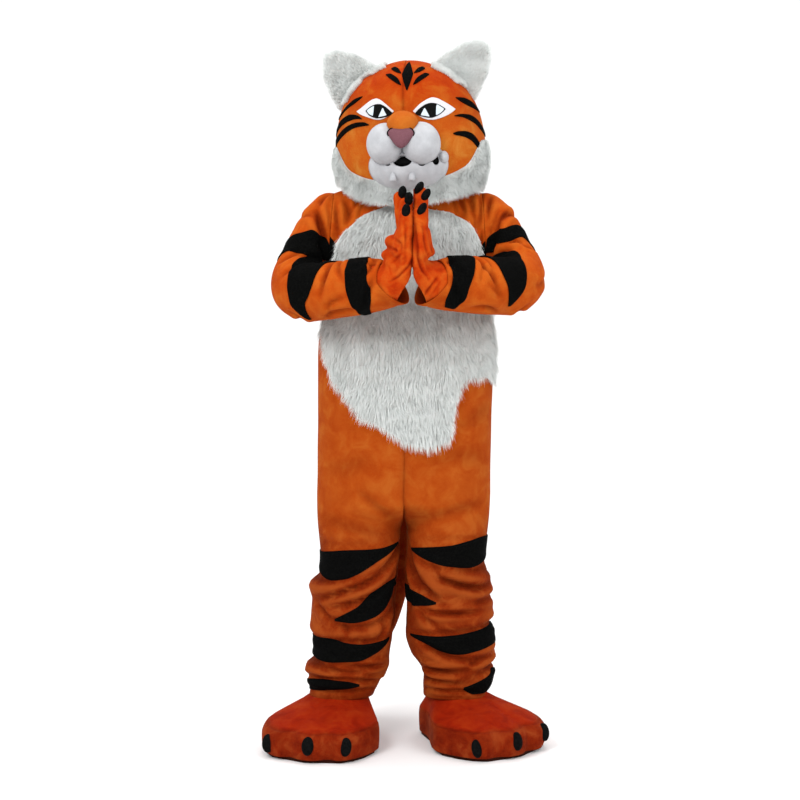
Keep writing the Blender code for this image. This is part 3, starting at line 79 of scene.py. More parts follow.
# Sections of the body: height, half width, depth in front of and behind the side seams.
TORSO = (
    (CROTCH, 0.236, 0.130, 0.137), (CROTCH_FRONT, 0.236, 0.141, 0.147), (0.750, 0.235, 0.150, 0.150),
    (0.850, 0.235, 0.158, 0.146), (0.950, 0.236, 0.160, 0.138), (1.050, 0.237, 0.154, 0.132),
    (1.140, 0.228, 0.140, 0.126), (UNDERARM, 0.214, 0.125, 0.120),
)
NECK_SIDE, SHOULDER_TIP = (0.100, 0.004, 1.522), (0.198, 0.004, SHOULDER)
NECK_FRONT, NECK_BACK = (0.0, -0.086, 1.486), (0.0, 0.078, 1.518)
NECK_SHARE = 4 / 7
ARMHOLE_DEPTH = 0.078

ELBOWS = {1: (0.347, -0.100, 1.230), -1: (0.340, -0.100, 1.206)}
WRIST_OUT, PALM_X, WRIST = 0.058, 0.012, (-0.288, 1.250)
ARM_RADIUS, ELBOW_CREASE, SHOULDER_PULL, CUFF_LENGTH = 0.075, 0.005, 0.135, 0.62
# Sleeve rings after the elbow's: ring, share of the way to the cuff, radius.
FOREARM = ((8.0, 0.0, 0.075), (9.0, 0.26, 0.074), (10.0, 0.51, 0.072), (11.0, 0.78, 0.069),
           (12.0, 1.0, 0.0595))

HEAD_CENTRE, HEAD_YAW, HEAD_ROLL = (0.027, 0.0, 1.665), math.radians(-6.0), math.radians(-2.4)
HEAD_WALL, HEAD_ROUNDNESS, HEAD_BOTTOM = 0.008, 2.15, (-0.170, -0.128)
# Head sections in its own frame: height, half width, depth before and behind.
HEAD = metres((
    (-260, 165, 140, 150), (-170, 172, 142, 158), (-140, 184, 152, 172), (-100, 195, 163, 184),
    (-50, 199, 171, 190), (0, 194, 173, 188), (50, 180, 166, 178), (100, 149, 143, 152),
    (140, 104, 103, 110), (160, 66, 66, 70), (171, 30, 30, 32), (174, 1.5, 1.5, 1.5),
))
# Ruff: angle from the front in degrees, top and bottom height; then its wall: share of the way down,
# thickness, flare.
RUFF = (
    (0, -150, -222), (25, -146, -216), (50, -120, -196), (75, -50, -160), (100, -45, -146),
    (130, -80, -148), (180, -100, -172),
)
RUFF_WALL = (
    (0, 6, 0), (0.22, 21, 0), (0.55, 30, 0), (0.85, 25, 5), (1, 8, 12),
)
RUFF_LOOK = {1: 0.036, -1: 0.0}  # how far the fur hangs down over each shoulder
EAR_BASE, EAR_TIP, EAR_Y, EAR_HALF_WIDTH = (0.106, 0.086), (0.212, 0.203), 0.012, 0.077
# Ear sections: share of the way to the tip, share of the half width, thickness, cup.
EAR_SHAPE = (
    (-0.06, 1, 46, 12), (0.18, 0.99, 44, 16), (0.42, 0.9, 38, 16), (0.64, 0.73, 32, 13),
    (0.82, 0.52, 25, 8), (0.94, 0.29, 16, 3), (1, 0.02, 3, 0),
)
BRIDGE = ((0.0, -0.196, -0.012), (0.0415, 0.052, 0.036))
JAW = ((0.004, -0.118, -0.108), (0.108, 0.086, 0.076))

FOOT_PLACES = {1: (0.1416, 0.002, 41.0), -1: (-0.1704, 0.002, -18.0)}
ANKLE_PLACES = {1: (0.1524, 0.0), -1: (-0.1605, 0.0022)}
FOOT_TOE_HALF, FOOT_HEEL_HALF, FOOT_HALF_LENGTH, FOOT_MIDDLE = 0.159, 0.082, 0.193, -0.094
TOE_PITCH, TOE_DENT, SOLE_THICKNESS = 0.104, 0.010, 0.009
ANKLE_HALF = (0.0705, 0.0745)
# Height, and share of the way from the ankle's ring out to the foot's outline.
FOOT_PROFILE = ((SOLE_THICKNESS + SEAM, 0.965), (0.032, 1.0), (0.054, 0.995), (0.073, 0.93), (0.084, 0.76),
                (0.098, 0.50), (0.112, 0.24), (0.126, 0.08), (0.168, 0.0))

PALM_HALF, WRIST_RADIUS, WRIST_CREASE, FINGER_RADIUS = (0.0215, 0.050), 0.054, 0.004, 0.0172
# Rings of the palm: height, share of its half thickness, share of its half width.
PALM_RINGS = ((1.326, 1.45, 1.05), (1.354, 1.12, 1.02), (1.380, 0.92, 0.94), (1.394, 0.62, 0.70))
# Side, y and height of a finger's root, then x from the palms' plane, y and height of its tip.
FINGERS = (
    ("index", 1, -0.281, 1.360, 0.0190, -0.280, 1.493), ("middle", 1, -0.313, 1.360, 0.0220, -0.314, 1.474),
    ("little", 1, -0.345, 1.350, 0.0190, -0.347, 1.438), ("thumb", 1, -0.272, 1.310, 0.0235, -0.250, 1.400),
    ("index", -1, -0.281, 1.360, 0.0345, -0.280, 1.481), ("middle", -1, -0.313, 1.360, 0.0185, -0.314, 1.464),
    ("little", -1, -0.345, 1.350, 0.0190, -0.347, 1.434), ("thumb", -1, -0.272, 1.310, 0.0235, -0.250, 1.395),
)

# Belly: eighths of the front (negative on the right), lower and upper edge.
BELLY = (
    (-6.9, 1262, 1330), (-6.6, 1170, 1358), (-6.2, 1110, 1374), (-5.3, 1045, 1398), (-4.5, 995, 1418),
    (-3.4, 945, 1430), (-2.2, 895, 1442), (-1.4, 880, 1450), (-0.1, 836, 1455), (0.5, 822, 1453),
    (1, 817, 1448), (1.7, 822, 1440), (2.4, 838, 1437), (2.8, 930, 1436), (3.3, 980, 1434),
    (3.9, 998, 1431), (5, 1000, 1420), (5.6, 996, 1411), (6.5, 988, 1388), (7, 984, 1360),
    (7.3, 984, 1322), (7.45, 995, 1240),
)
# Stripes of the trousers: eighths from the inseam, lower and upper edge.
LEG_STRIPES = {
    ("thigh", -1): ((1.2, 548, 552), (2.9, 508, 541), (3.4, 492, 540), (4.5, 459, 538), (5.6, 452, 532),
                    (6.5, 468, 526), (8, 488, 521), (10.4, 502, 507)),
    ("knee", -1): ((0.8, 432, 462), (1.6, 408, 452), (2.4, 372, 440), (3.1, 353, 424), (4.1, 340, 377),
                   (5.1, 343, 348)),
    ("shin", -1): ((1.4, 286, 291), (2.4, 252, 283), (3.5, 234, 279), (4.3, 232, 283), (5.2, 230, 294),
                   (6.5, 234, 292), (8, 240, 288), (10.2, 258, 268)),
    ("ankle", -1): ((2.9, 163, 168), (3.9, 155, 178), (5, 150, 181), (6.4, 143, 176), (8, 137, 163),
                    (9.6, 143, 150)),
    ("thigh", 1): ((1.6, 533, 538), (2.75, 511, 544), (4, 493, 550), (5.1, 487, 561), (6.4, 497, 568),
                   (8, 515, 562), (10.2, 530, 540)),
    ("knee", 1): ((0.6, 400, 432), (1.2, 386, 427), (1.8, 380, 423), (2.4, 383, 416), (3.4, 391, 396)),
    ("shin", 1): ((1.3, 296, 300), (2.3, 284, 301), (3.4, 260, 302), (4.2, 252, 305), (5.4, 258, 312),
                  (6.7, 266, 318), (8, 272, 318), (10, 290, 300)),
    ("ankle", 1): ((4.4, 152, 160), (5.2, 138, 170), (6.4, 136, 187), (7.2, 142, 200), (8.2, 152, 190),
                   (9.4, 168, 174)),
}
# Stripes of the sleeves: column round the arm (0 under it), first and last ring from the shoulder.
SLEEVE_STRIPES = {
    ("upper", -1): ((2.3, 0, 1.6), (2.8, 0, 2.9), (3.15, 0.2, 3.5), (3.45, 1.4, 3.8), (4.2, 2.25, 4.05),
                    (5, 2.88, 4.3), (5.6, 3.12, 4.3), (6.4, 3.4, 4.35), (7.2, 3.7, 4.4), (8.6, 4.07, 4.23)),
    ("elbow", -1): ((2.6, 2.6, 9.6), (3.2, 3.3, 9.5), (3.86, 3.95, 9.35), (4.2, 5.2, 9.2), (4.6, 6, 9.12),
                    (5.4, 7.05, 9), (6.3, 7.33, 8.88), (7.1, 7.45, 8.6), (7.7, 7.47, 8.25),
                    (8.3, 7.65, 8.15), (9.3, 7.95, 8.05)),
    ("fore", -1): ((3, 10.1, 10.8), (4.1, 10.15, 11.07), (4.9, 10.33, 11.3), (6.1, 10.45, 11.5),
                   (7.1, 10.49, 11.55), (7.9, 10.49, 11.4), (9, 10.49, 11), (9.9, 10.55, 10.75)),
    ("upper", 1): ((2.6, 0, 0.6), (3.1, 0.1, 1.9), (3.6, 1.3, 2.95), (4.3, 2.45, 3.5), (5, 2.7, 3.62),
                   (5.6, 2.82, 3.68), (6.2, 3, 4.05), (7, 3.4, 4.3), (8.3, 3.95, 4.15)),
    ("elbow", 1): ((2.6, 2.8, 9.7), (3.3, 3.5, 9.6), (3.86, 3.95, 9.52), (4.3, 4.85, 9.45),
                   (4.85, 6.9, 9.34), (5.6, 7.38, 9.22), (6.4, 7.6, 9.1), (7.1, 7.75, 8.85),
                   (7.8, 7.98, 8.65), (8.6, 8.3, 8.42)),
    ("fore", 1): ((3.3, 10, 11), (4.5, 10.15, 11.45), (5.5, 10.4, 11.68), (6.4, 10.62, 11.75),
                  (7.4, 10.85, 11.75), (8.3, 10.88, 11.65), (9.2, 11, 11.4)),
}
# Where the sleeve's upper stripe goes on over the chest: eighths, lower and upper edge.
CHEST_STRIPES = {
    -1: ((6.35, 1306, 1334), (7, 1288, 1348), (7.6, 1270, 1362), (7.96, 1256, 1370)),
    1: ((7.1, 1312, 1332), (7.5, 1292, 1346), (7.96, 1262, 1358)),
}
# Tail: x, y, height, radius.
TAIL = (
    (0, 128, 770, 30), (0, 160, 735, 30), (2, 182, 680, 30), (4, 190, 600, 29), (2, 190, 520, 28),
    (-4, 188, 440, 28), (-14, 188, 370, 28), (-32, 190, 300, 28), (-60, 194, 240, 28), (-96, 200, 205, 26),
    (-128, 206, 200, 18), (-146, 209, 203, 2),
)

# ---------------------------------------------------------------- folds
# Each fold runs through three places of its surface, (across, along) each; then its half width and its
# depth. Eighths go on round the leg: 8 is the side seam, 16 the inseam or the centre back.

LEG_FOLDS = {
    -1: ((7.4, 396, 4.6, 424, 1.4, 512, 10.5, 14.5), (6.6, 374, 3.9, 400, 1.7, 460, 9.5, 11.5),
         (6.8, 392, 5.8, 362, 4.8, 336, 8, 8), (8.8, 472, 5.4, 449, 3, 488, 9, 7.5),
         (4.7, 335, 4.3, 318, 4.5, 294, 9, 7), (2.5, 348, 2.2, 318, 2.6, 288, 9, 7),
         (1.2, 392, 0.9, 345, 1.8, 296, 9, 7), (9.2, 297, 4.9, 286, 1.2, 294, 10, 10),
         (9, 228, 6, 224, 4.2, 207, 8, 11.5), (6.8, 216, 4.2, 205, 2.8, 202, 6, 11.5),
         (5.2, 228, 3, 216, 0.6, 210, 7, 9.5), (2.9, 197, 1.8, 190, 0.4, 196, 6, 8),
         (9, 168, 6.2, 181, 3.2, 186, 7.5, 10.5), (3.6, 182, 2, 174, 0.3, 167, 7, 9),
         (7.8, 143, 4.4, 148, 0.8, 147, 6, 7), (0.2, 552, 1.4, 520, 3, 476, 10, 10),
         (0.3, 505, 0.9, 455, 1.4, 398, 9, 9), (5.2, 336, 3.2, 331, 1.4, 378, 8, 7),
         (6.4, 622, 4, 602, 1.6, 566, 22, 4.5), (2.8, 705, 1.5, 662, 0.4, 605, 16, 5),
         (7.2, 560, 5, 552, 3.2, 560, 12, 3), (1.6, 800, 3.4, 760, 6, 750, 30, 3),
         (8.6, 405, 11.5, 430, 14.6, 500, 11, 13), (9, 366, 12, 390, 14.4, 452, 10, 11),
         (9.2, 470, 11.4, 462, 14, 490, 10, 8), (9.6, 338, 12.4, 330, 15, 345, 10, 9),
         (10, 294, 12, 286, 14.8, 296, 10, 9), (9.2, 232, 11.4, 214, 14.8, 226, 8, 10),
         (10.2, 200, 12.6, 192, 15.4, 204, 7, 9), (9.4, 160, 11.6, 172, 15, 160, 8, 9),
         (9.4, 142, 12.4, 140, 15.2, 144, 6, 6), (15.4, 560, 13, 630, 10.4, 720, 20, 6),
         (15.4, 610, 13.6, 700, 12, 800, 24, 5), (13, 880, 11, 850, 9, 870, 26, 4)),
    1: ((1, 552, 2.3, 452, 4.1, 380, 10, 12.5), (0.8, 530, 1.5, 470, 2.8, 404, 9, 9),
        (2.6, 448, 3.1, 424, 3.8, 405, 6, 9), (3.2, 494, 4.8, 440, 7.8, 438, 10, 12.5),
        (3.4, 474, 4.1, 448, 6.4, 424, 8, 9), (2.5, 373, 4, 366, 6, 368, 7, 13.5),
        (2.2, 370, 2.9, 345, 3.8, 314, 9, 8), (2, 288, 3.5, 254, 4.7, 240, 8, 11.5),
        (4.2, 240, 5.8, 236, 8.6, 247, 8, 10), (1.8, 208, 3, 207, 4.1, 209, 7, 13),
        (1.6, 208, 3.4, 200, 5.1, 218, 8, 8), (4.9, 229, 5.2, 224, 5.6, 229, 5, 10),
        (0.4, 172, 2.4, 178, 4.4, 166, 8, 9), (0.8, 144, 3, 151, 5.7, 142, 6, 8),
        (1.2, 534, 4.6, 482, 8.6, 505, 9, 7.5), (9.4, 212, 7, 206, 5.2, 194, 8, 10.5),
        (5.8, 334, 7.4, 324, 9.4, 332, 10, 8), (0.4, 475, 1.1, 425, 1.5, 360, 9, 9),
        (1.3, 302, 4.6, 314, 8.8, 326, 10, 8.5), (8.6, 392, 6.8, 398, 5.2, 388, 9, 8),
        (1.2, 602, 3.4, 645, 6.2, 655, 20, 4.5), (6.6, 560, 4.6, 574, 2.2, 570, 12, 3.5),
        (1, 760, 3.6, 790, 6.6, 770, 30, 3), (3, 850, 5, 900, 7, 905, 26, 3),
        (9, 430, 12, 400, 14.8, 470, 11, 12), (9.6, 462, 12, 452, 14.6, 505, 10, 9),
        (9.4, 368, 11.8, 362, 14.8, 392, 10, 10), (10, 330, 12.4, 322, 15, 330, 9, 9),
        (9.4, 284, 12, 276, 15, 290, 10, 8), (9.4, 240, 12, 222, 15, 232, 8, 10),
        (9.8, 200, 12, 194, 15.2, 206, 7, 9), (9.2, 172, 11.6, 164, 15, 172, 8, 9),
        (9.4, 140, 12, 144, 15, 138, 6, 6), (15.4, 570, 13.2, 640, 10.8, 700, 20, 6),
        (15.2, 620, 13.8, 690, 12.4, 780, 24, 5), (13.6, 840, 11.4, 870, 9.4, 850, 26, 4)),
}
# Folds of the chest and the upper back, in the same terms.
CHEST_FOLDS = {
    -1: ((7.9, 1474, 7.3, 1413, 6.4, 1345, 8.5, 10.5), (6.9, 1472, 5.9, 1432, 6.3, 1390, 9, 9.5),
         (5.4, 1476, 5.3, 1456, 5.8, 1432, 6, 7), (7.8, 1395, 7.2, 1352, 6.5, 1325, 8, 7),
         (8.2, 1460, 9.2, 1390, 10, 1290, 9, 9), (8.8, 1480, 11, 1440, 12.4, 1330, 11, 7),
         (9, 1300, 11, 1240, 13.6, 1250, 14, 6), (8.6, 1150, 10.6, 1100, 13.4, 1110, 18, 5)),
    1: ((7.9, 1484, 7.7, 1437, 6.9, 1372, 8.5, 11.5), (6.3, 1470, 6.7, 1418, 6.4, 1375, 8, 9),
        (7.9, 1400, 7.6, 1362, 6.9, 1335, 8, 8), (5.2, 1474, 5.5, 1452, 5.6, 1430, 6, 6),
        (8.2, 1470, 9, 1400, 9.8, 1300, 9, 9), (9, 1476, 10.8, 1430, 12.8, 1340, 11, 7),
        (9.2, 1280, 11.2, 1230, 13.4, 1260, 14, 6), (8.8, 1120, 10.8, 1090, 13, 1120, 18, 5)),
}
# Folds of the sleeves: (column, ring) three times, half width, depth.
SLEEVE_FOLDS = {
    -1: ((4.9, 1.35, 3.6, 0.55, 2.8, 0.05, 8.5, 11), (5.7, 1.9, 3.9, 0.95, 3, 0.25, 8.5, 11.5),
         (6.6, 2.4, 4.8, 1.75, 3.4, 0.9, 8, 8), (5.6, 0.2, 5.2, 0.75, 4.4, 1.1, 8, 8),
         (6.7, 0.25, 6.4, 1.3, 6.4, 2.6, 10, 7), (7.8, 0.3, 7.6, 1.6, 7.4, 2.9, 11, 7),
         (8.8, 0.3, 9.2, 1.4, 10.6, 0.6, 9, 9), (9.6, 1.8, 10.4, 1.2, 11.4, 0.2, 9, 9),
         (4.2, 3.4, 5, 4.7, 6.2, 5, 9, 6), (2.4, 3, 3.6, 4, 4.4, 4.6, 9, 9),
         (3.4, 6, 4.6, 6.6, 6, 6.4, 9, 6), (3, 8.6, 4.8, 8.5, 7, 8.3, 7, 6),
         (4, 9.35, 5.6, 9.45, 7.4, 9.15, 8, 9), (3.6, 9.8, 5, 9.9, 6.4, 10.4, 7, 7),
         (8.6, 9.2, 7.9, 9.6, 7.6, 10.4, 9, 7), (9.6, 8.6, 8.6, 9.6, 8.9, 10.7, 8, 8),
         (5.2, 10.3, 5.6, 10.9, 5, 11.5, 6, 4), (6.4, 11.2, 5.2, 11.6, 4, 11.3, 7, 9),
         (8.6, 10.9, 7.6, 11.35, 6.6, 11.75, 8, 9), (4.2, 10.9, 4.9, 11.3, 5.2, 11.8, 6, 7),
         (10.2, 6.6, 9.4, 7.4, 8.4, 7, 10, 7), (11.4, 5.4, 10.4, 6, 9.2, 5.8, 11, 6)),
    1: ((5.7, 0.55, 4.4, 0.3, 3.4, 0.05, 8, 9.5), (5.2, 1.75, 3.9, 0.75, 3, 0.1, 8.5, 11.5),
        (6.5, 2.25, 4, 1.5, 2.9, 0.3, 8.5, 11.5), (7.2, 2.6, 5.4, 2.1, 4.4, 1.9, 8, 7),
        (6.8, 0.25, 6.6, 1.3, 6.8, 2.4, 10, 7), (7.8, 0.3, 7.8, 1.5, 7.6, 2.8, 11, 7),
        (8.8, 0.3, 9.4, 1.3, 10.6, 0.5, 9, 9), (9.8, 1.7, 10.5, 1.1, 11.4, 0.2, 9, 9),
        (5, 3.9, 5.6, 4.5, 6.4, 4.4, 7, 6), (4.2, 3.55, 4.9, 3.75, 5.6, 4.1, 6, 7),
        (2.4, 3, 3.6, 3.9, 4.3, 4.4, 9, 9), (7.6, 5.2, 7.4, 6.2, 7, 7, 11, 5),
        (3.4, 9.65, 5.2, 9.55, 6.8, 9.45, 7, 8), (4.4, 10, 6.2, 9.75, 7.7, 9, 9, 11.5),
        (6.6, 10.1, 7.2, 9.7, 8, 8.9, 7, 7), (5, 9.85, 6, 10.1, 7, 10.3, 7, 6),
        (9.4, 8.7, 8.8, 9.5, 9, 10.5, 8, 8), (5, 10.6, 5.4, 11.2, 5.2, 11.6, 6, 4),
        (6.6, 11.2, 5.4, 11.6, 4.2, 11.3, 7, 9), (8.8, 10.9, 7.8, 11.35, 6.8, 11.75, 8, 9),
        (4.2, 11, 4.9, 11.4, 5.2, 11.8, 6, 7), (10.2, 6.6, 9.4, 7.4, 8.6, 7, 10, 7),
        (11.4, 5.2, 10.4, 5.8, 9.2, 5.6, 11, 6)),
}
# How the cloth of a leg bags: height, how far out the outer side goes, how far the inner edge goes outwards.
BAGGING = {
    -1: ((119, 3, 3), (156, -3, -2), (180, 3, -10), (203, 3, -10), (213, -7, -8), (226, -16, -3),
         (250, -15, 3), (277, -10, 8), (296, -2, 12), (342, 1, 18), (388, 0, 18), (405, 4, 18),
         (425, 7, 19), (440, -6, 20), (455, -20, 18), (481, -19, 15), (513, -15, 11), (573, -6, 5),
         (620, -2, 1), (680, 0, 0)),
    1: ((124, -6, -2), (156, 2, 6), (180, 2, 14), (198, -1, 18), (212, -5, 12), (240, 8, 0), (277, 7, -2),
        (300, -1, 1), (319, -3, 5), (361, 2, 9), (425, -4, 10), (450, -7, 10), (466, -17, 10),
        (485, -19, 10), (554, -8, 8), (620, -2, 5), (680, 0, 0)),
}
# How far the sleeve bags out on its outer side, ring by ring.
SLEEVE_BAGGING = (
    (0, 0), (0.5, 0), (1, 1), (1.6, 5), (2.2, 9), (3, 9), (3.7, 4), (4.3, -1), (5, -3), (6, -6), (7, -12),
    (7.5, -13), (8, -11), (8.5, -5), (9, 0), (12, 0),
)

# ---------------------------------------------------------------- small helpers


def read(table, at):
    """The table's columns after the first, read along a smooth curve that never overshoots."""
    table = np.asarray(table, float)
    xs = table[:, 0]
    at = np.clip(at, xs[0], xs[-1])
    cell = np.clip(np.searchsorted(xs, at, side="right") - 1, 0, len(xs) - 2)
    width = xs[cell + 1] - xs[cell]
    t = (at - xs[cell]) / width
    columns = []
    for column in table.T[1:]:
        rise = np.diff(column) / np.diff(xs)
        both = rise[:-1] * rise[1:]
        inside = np.where(both > 0, 2 * both / np.where(both > 0, rise[:-1] + rise[1:], 1.0), 0.0)
        slope = np.concatenate([rise[:1], inside, rise[-1:]])
        columns.append((2 * t**3 - 3 * t**2 + 1) * column[cell] + (t**3 - 2 * t**2 + t) * width * slope[cell]
                       + (3 * t**2 - 2 * t**3) * column[cell + 1] + (t**3 - t**2) * width * slope[cell + 1])
    return columns


def unit(vectors):
    return vectors / np.maximum(np.linalg.norm(vectors, axis=-1, keepdims=True), 1e-9)


def smooth(share):
    share = np.clip(share, 0.0, 1.0)
    return share * share * (3 - 2 * share)


def powered(value, power):
    return np.sign(value) * np.abs(value) ** power


def grid_normals(grid, ring=False):
    if ring:
        across = np.roll(grid, -1, axis=1) - np.roll(grid, 1, axis=1)
    else:
        across = np.gradient(grid, axis=1)
    return unit(np.cross(across, np.gradient(grid, axis=0)))


def closed(*grids):
    """Grids of rings, each with its first column again at the end."""
    return [np.concatenate([grid, grid[:, :1]], axis=1) for grid in grids]


def round_leg(*pairs):
    """Each pair, of a front and a back panel's grid, as one grid from the front's middle to the back's."""
    return [np.concatenate([front, back[:, -2::-1]], axis=1) for front, back in pairs]


def whole_front(right, left):
    """The right's and the left's grids joined, from the far right to the far left."""
    return tuple(np.concatenate([first[:, :0:-1], second], axis=1) for first, second in zip(right, left))


def sampled(grid, rows, columns):
    """Points of a grid at fractional rows and columns."""
    rows = np.clip(rows, 0, grid.shape[0] - 1.001)
    columns = np.clip(columns, 0, grid.shape[1] - 1.001)
    r, c = rows.astype(int), columns.astype(int)
    fr, fc = (rows - r)[..., None], (columns - c)[..., None]
    return ((1 - fr) * ((1 - fc) * grid[r, c] + fc * grid[r, c + 1])
            + fr * ((1 - fc) * grid[r + 1, c] + fc * grid[r + 1, c + 1]))


def mottled(points, size, seed=0.0):
    """Soft waves over points, about one unit high, with no repeat that shows."""
    x, y, z = (points[..., axis] / size for axis in range(3))
    return (np.sin(x * 1.7 + 1.3 * np.sin(y * 1.1 + seed) + seed)
            + np.sin(y * 2.1 + 1.1 * np.sin(z * 1.4 - seed))
            + np.sin(z * 1.9 + 1.2 * np.sin(x * 1.3 + 2.0 * seed))) / 3


def swayed(points):
    moved = np.array(points, float)
    low = np.maximum(1 - moved[..., 2] / HEM_SHIFT_HEIGHT, 0.0)
    moved[..., 0] += SWAY * moved[..., 2] - HEM_SHIFT * low
    moved[..., 2] += FLOOR
    return moved


def head_turned(points):
    """Points of the head's own frame, in the costume's."""
    turn = Matrix.Rotation(HEAD_YAW, 3, "Z") @ Matrix.Rotation(HEAD_ROLL, 3, "Y")
    return np.asarray(points) @ np.array(turn).T + np.array(HEAD_CENTRE) + np.array((0.0, 0.0, FLOOR))


def piece(name, points, faces, material, nodes=(), slot=None, shade_and_highlight=None, soft=True):
    """A piece of the costume that rides on its body. shade_and_highlight is a number from 0 to 1 for each
    point: above 0.5 it paints shade, below it a highlight.
    """
    mesh = bpy.data.meshes.new(name)
    mesh.from_pydata(np.asarray(points).reshape(-1, 3).tolist(), [], faces)
    if soft:
        mesh.shade_smooth()
    if shade_and_highlight is not None:
        layer = mesh.attributes.new("shade_and_highlight", "FLOAT", "POINT")
        layer.data.foreach_set("value", np.asarray(shade_and_highlight, float).ravel())
    mesh.materials.append(material)
    thing = bpy.data.objects.new(name, mesh)
    bpy.context.scene.collection.objects.link(thing)
    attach(thing, "costume")
    slot or SLOTS[material.name]
    if nodes:
        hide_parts(*nodes)
    return thing


def cells(rows, columns, ring=False, start=0, flip=False):
    """Quads of a grid whose points are numbered row by row."""
    faces = []
    for row in range(rows - 1):
        for column in range(columns if ring else columns - 1):
            after = (column + 1) % columns
            quad = (start + row * columns + column, start + row * columns + after,
                    start + (row + 1) * columns + after, start + (row + 1) * columns + column)
            faces.append(quad[::-1] if flip else quad)
    return faces


def wall(outer, inner, ring=False):
    """Points and faces of a closed cloth wall between two grids. Its hidden side takes every second point."""
    inner = inner[::2, ::2]
    rows, columns = outer.shape[:2]
    few, count = inner.shape[1], rows * columns
    faces = cells(rows, columns, ring) + cells(*inner.shape[:2], ring, count, True)
    for row, back in ((0, True), (rows - 1, False)):
        for column in range(0, columns if ring else columns - 1, 2):
            a, b, c = (row * columns + (column + step) % columns for step in range(3))
            under_a, under_c = (count + row // 2 * few + (column // 2 + step) % few for step in range(2))
            faces.append((c, b, a, under_a, under_c) if back else (a, b, c, under_c, under_a))
    if not ring:
        for column, back in ((0, False), (columns - 1, True)):
            for row in range(0, rows - 1, 2):
                a, b, c = ((row + step) * columns + column for step in range(3))
                under_a, under_c = (count + (row // 2 + step) * few + column // 2 for step in range(2))
                faces.append((c, b, a, under_a, under_c) if back else (a, b, c, under_c, under_a))
    return np.concatenate([outer.reshape(-1, 3), inner.reshape(-1, 3)]), faces


def both_sides(values):
    """Values of a wall's outer grid, for all the wall's points."""
    return np.concatenate([values.ravel(), values[::2, ::2].ravel()])


def creased(depth, deepest):
    """The painted shading of a surface: 0.5 where it is smooth, more in creases, where it paints shade, and
    less on ridges, where it paints a highlight.
    """
    return np.clip(0.5 + depth / deepest, 0, 1)


def turned_over(faces):
    return [face[::-1] for face in faces]


def facing_out(points, faces, centre):
    """The faces, turned over if most of the first third, all of the outer side, face the centre."""
    a, b, c = (points[[face[corner] for face in faces[:len(faces) // 3]]] for corner in range(3))
    away = np.einsum("ij,ij->i", np.cross(b - a, c - a), a - centre)
    return faces if away.sum() > 0 else turned_over(faces)


def fold_depths(grid, normals, folds, place, ring=False):
    """How far folds pull each point of a grid in, in metres. Each is a sharp trough between soft ridges.
    place turns a fold's (across, along) into fractional row and column."""
    depth = np.zeros(grid.shape[:2])
    t = np.linspace(0, 1, 31)
    # The trough and the ridges beside it: how far off the fold's line, share of its depth, width, power.
    waves = ((0.0, 1.0, 1.0, 1.4), (2.0, -0.50, 1.2, 2.0), (-2.0, -0.40, 1.2, 2.0))
    source, ways = closed(grid, normals) if ring else (grid, normals)
    for *places, half_width, deep in folds:
        # A fold is a curve through its three places, which lie at the start, the middle and the end.
        through = ((1 - t) * (1 - 2 * t), 4 * t * (1 - t), t * (2 * t - 1))
        across, along = (sum(part * at for part, at in zip(through, places[axis::2])) for axis in range(2))
        rows, columns = (np.array(part) for part in zip(*(place(u, v) for u, v in zip(across, along))))
        line, up = sampled(source, rows, columns), sampled(ways, rows, columns)
        side = unit(np.cross(np.gradient(line, axis=0), up))
        reach = slice(max(int(rows.min()) - 16, 0), int(rows.max()) + 16)
        for shift, share, wide, power in waves:
            off = np.linalg.norm(grid[reach, :, None] - (line + side * shift * half_width), axis=-1)
            ends = np.sin(math.pi * np.clip(t[off.argmin(axis=-1)], 0.02, 0.98)) ** 0.7
            depth[reach] += deep * share * ends * np.exp(-(off.min(axis=-1) / (half_width * wide)) ** power)
    return depth


# ---------------------------------------------------------------- materials

SLOTS = {"orange plush": "orange_plush", "glove plush": "orange_plush", "head plush": "orange_plush",
         "foot plush": "foot_plush", "white fur": "white_fur", "fur backing": "white_fur",
         "white plush": "white_plush", "black plush": "black_plush", "nose felt": "nose_felt",
         "claw vinyl": "claw_vinyl", "mouth mesh": "mouth_mesh", "eye white": "white_plush",
         "eye black": "black_plush", "eye shine": "white_plush"}


def material(name, roughness=0.9, sheen=0.0, sheen_rough=0.4, specular=0.3, metal=0.0,
             sheen_tint=(1.0, 1.0, 1.0)):
    made = bpy.data.materials.new(name)
    made.use_nodes = True
    shader = made.node_tree.nodes["Principled BSDF"]
    shader.inputs["Roughness"].default_value = roughness
    shader.inputs["Specular IOR Level"].default_value = specular
    shader.inputs["Metallic"].default_value = metal
    shader.inputs["Sheen Weight"].default_value = sheen
    shader.inputs["Sheen Roughness"].default_value = sheen_rough
    shader.inputs["Sheen Tint"].default_value = (*sheen_tint, 1.0)
    return made


def node(made, kind, **values):
    new = made.node_tree.nodes.new(kind)
    for name, value in values.items():
        if name in new.inputs:
            new.inputs[name].default_value = value
        else:
            setattr(new, name, value)
    return new


def link(made, out, into):
    made.node_tree.links.new(out, into)


def place_of(made):
    return node(made, "ShaderNodeTexCoord").outputs["Object"]


def noise_of(made, size, detail=3.0, rough=0.55, distort=0.0):
    """Noise whose grains are about size metres across."""
    noise = node(made, "ShaderNodeTexNoise", Scale=1.0 / size, Detail=detail, Roughness=rough,
                 Distortion=distort)
    link(made, place_of(made), noise.inputs["Vector"])
    return noise.outputs["Fac"]


def ramp(made, value, stops):
    """stops are (place, colour)."""
    mix = node(made, "ShaderNodeValToRGB")
    elements = mix.color_ramp.elements
    for number, (at, colour) in enumerate(stops):
        element = elements[number] if number < 2 else elements.new(at)
        element.position = at
        element.color = (*colour, 1.0)
    link(made, value, mix.inputs["Fac"])
    return mix.outputs["Color"]


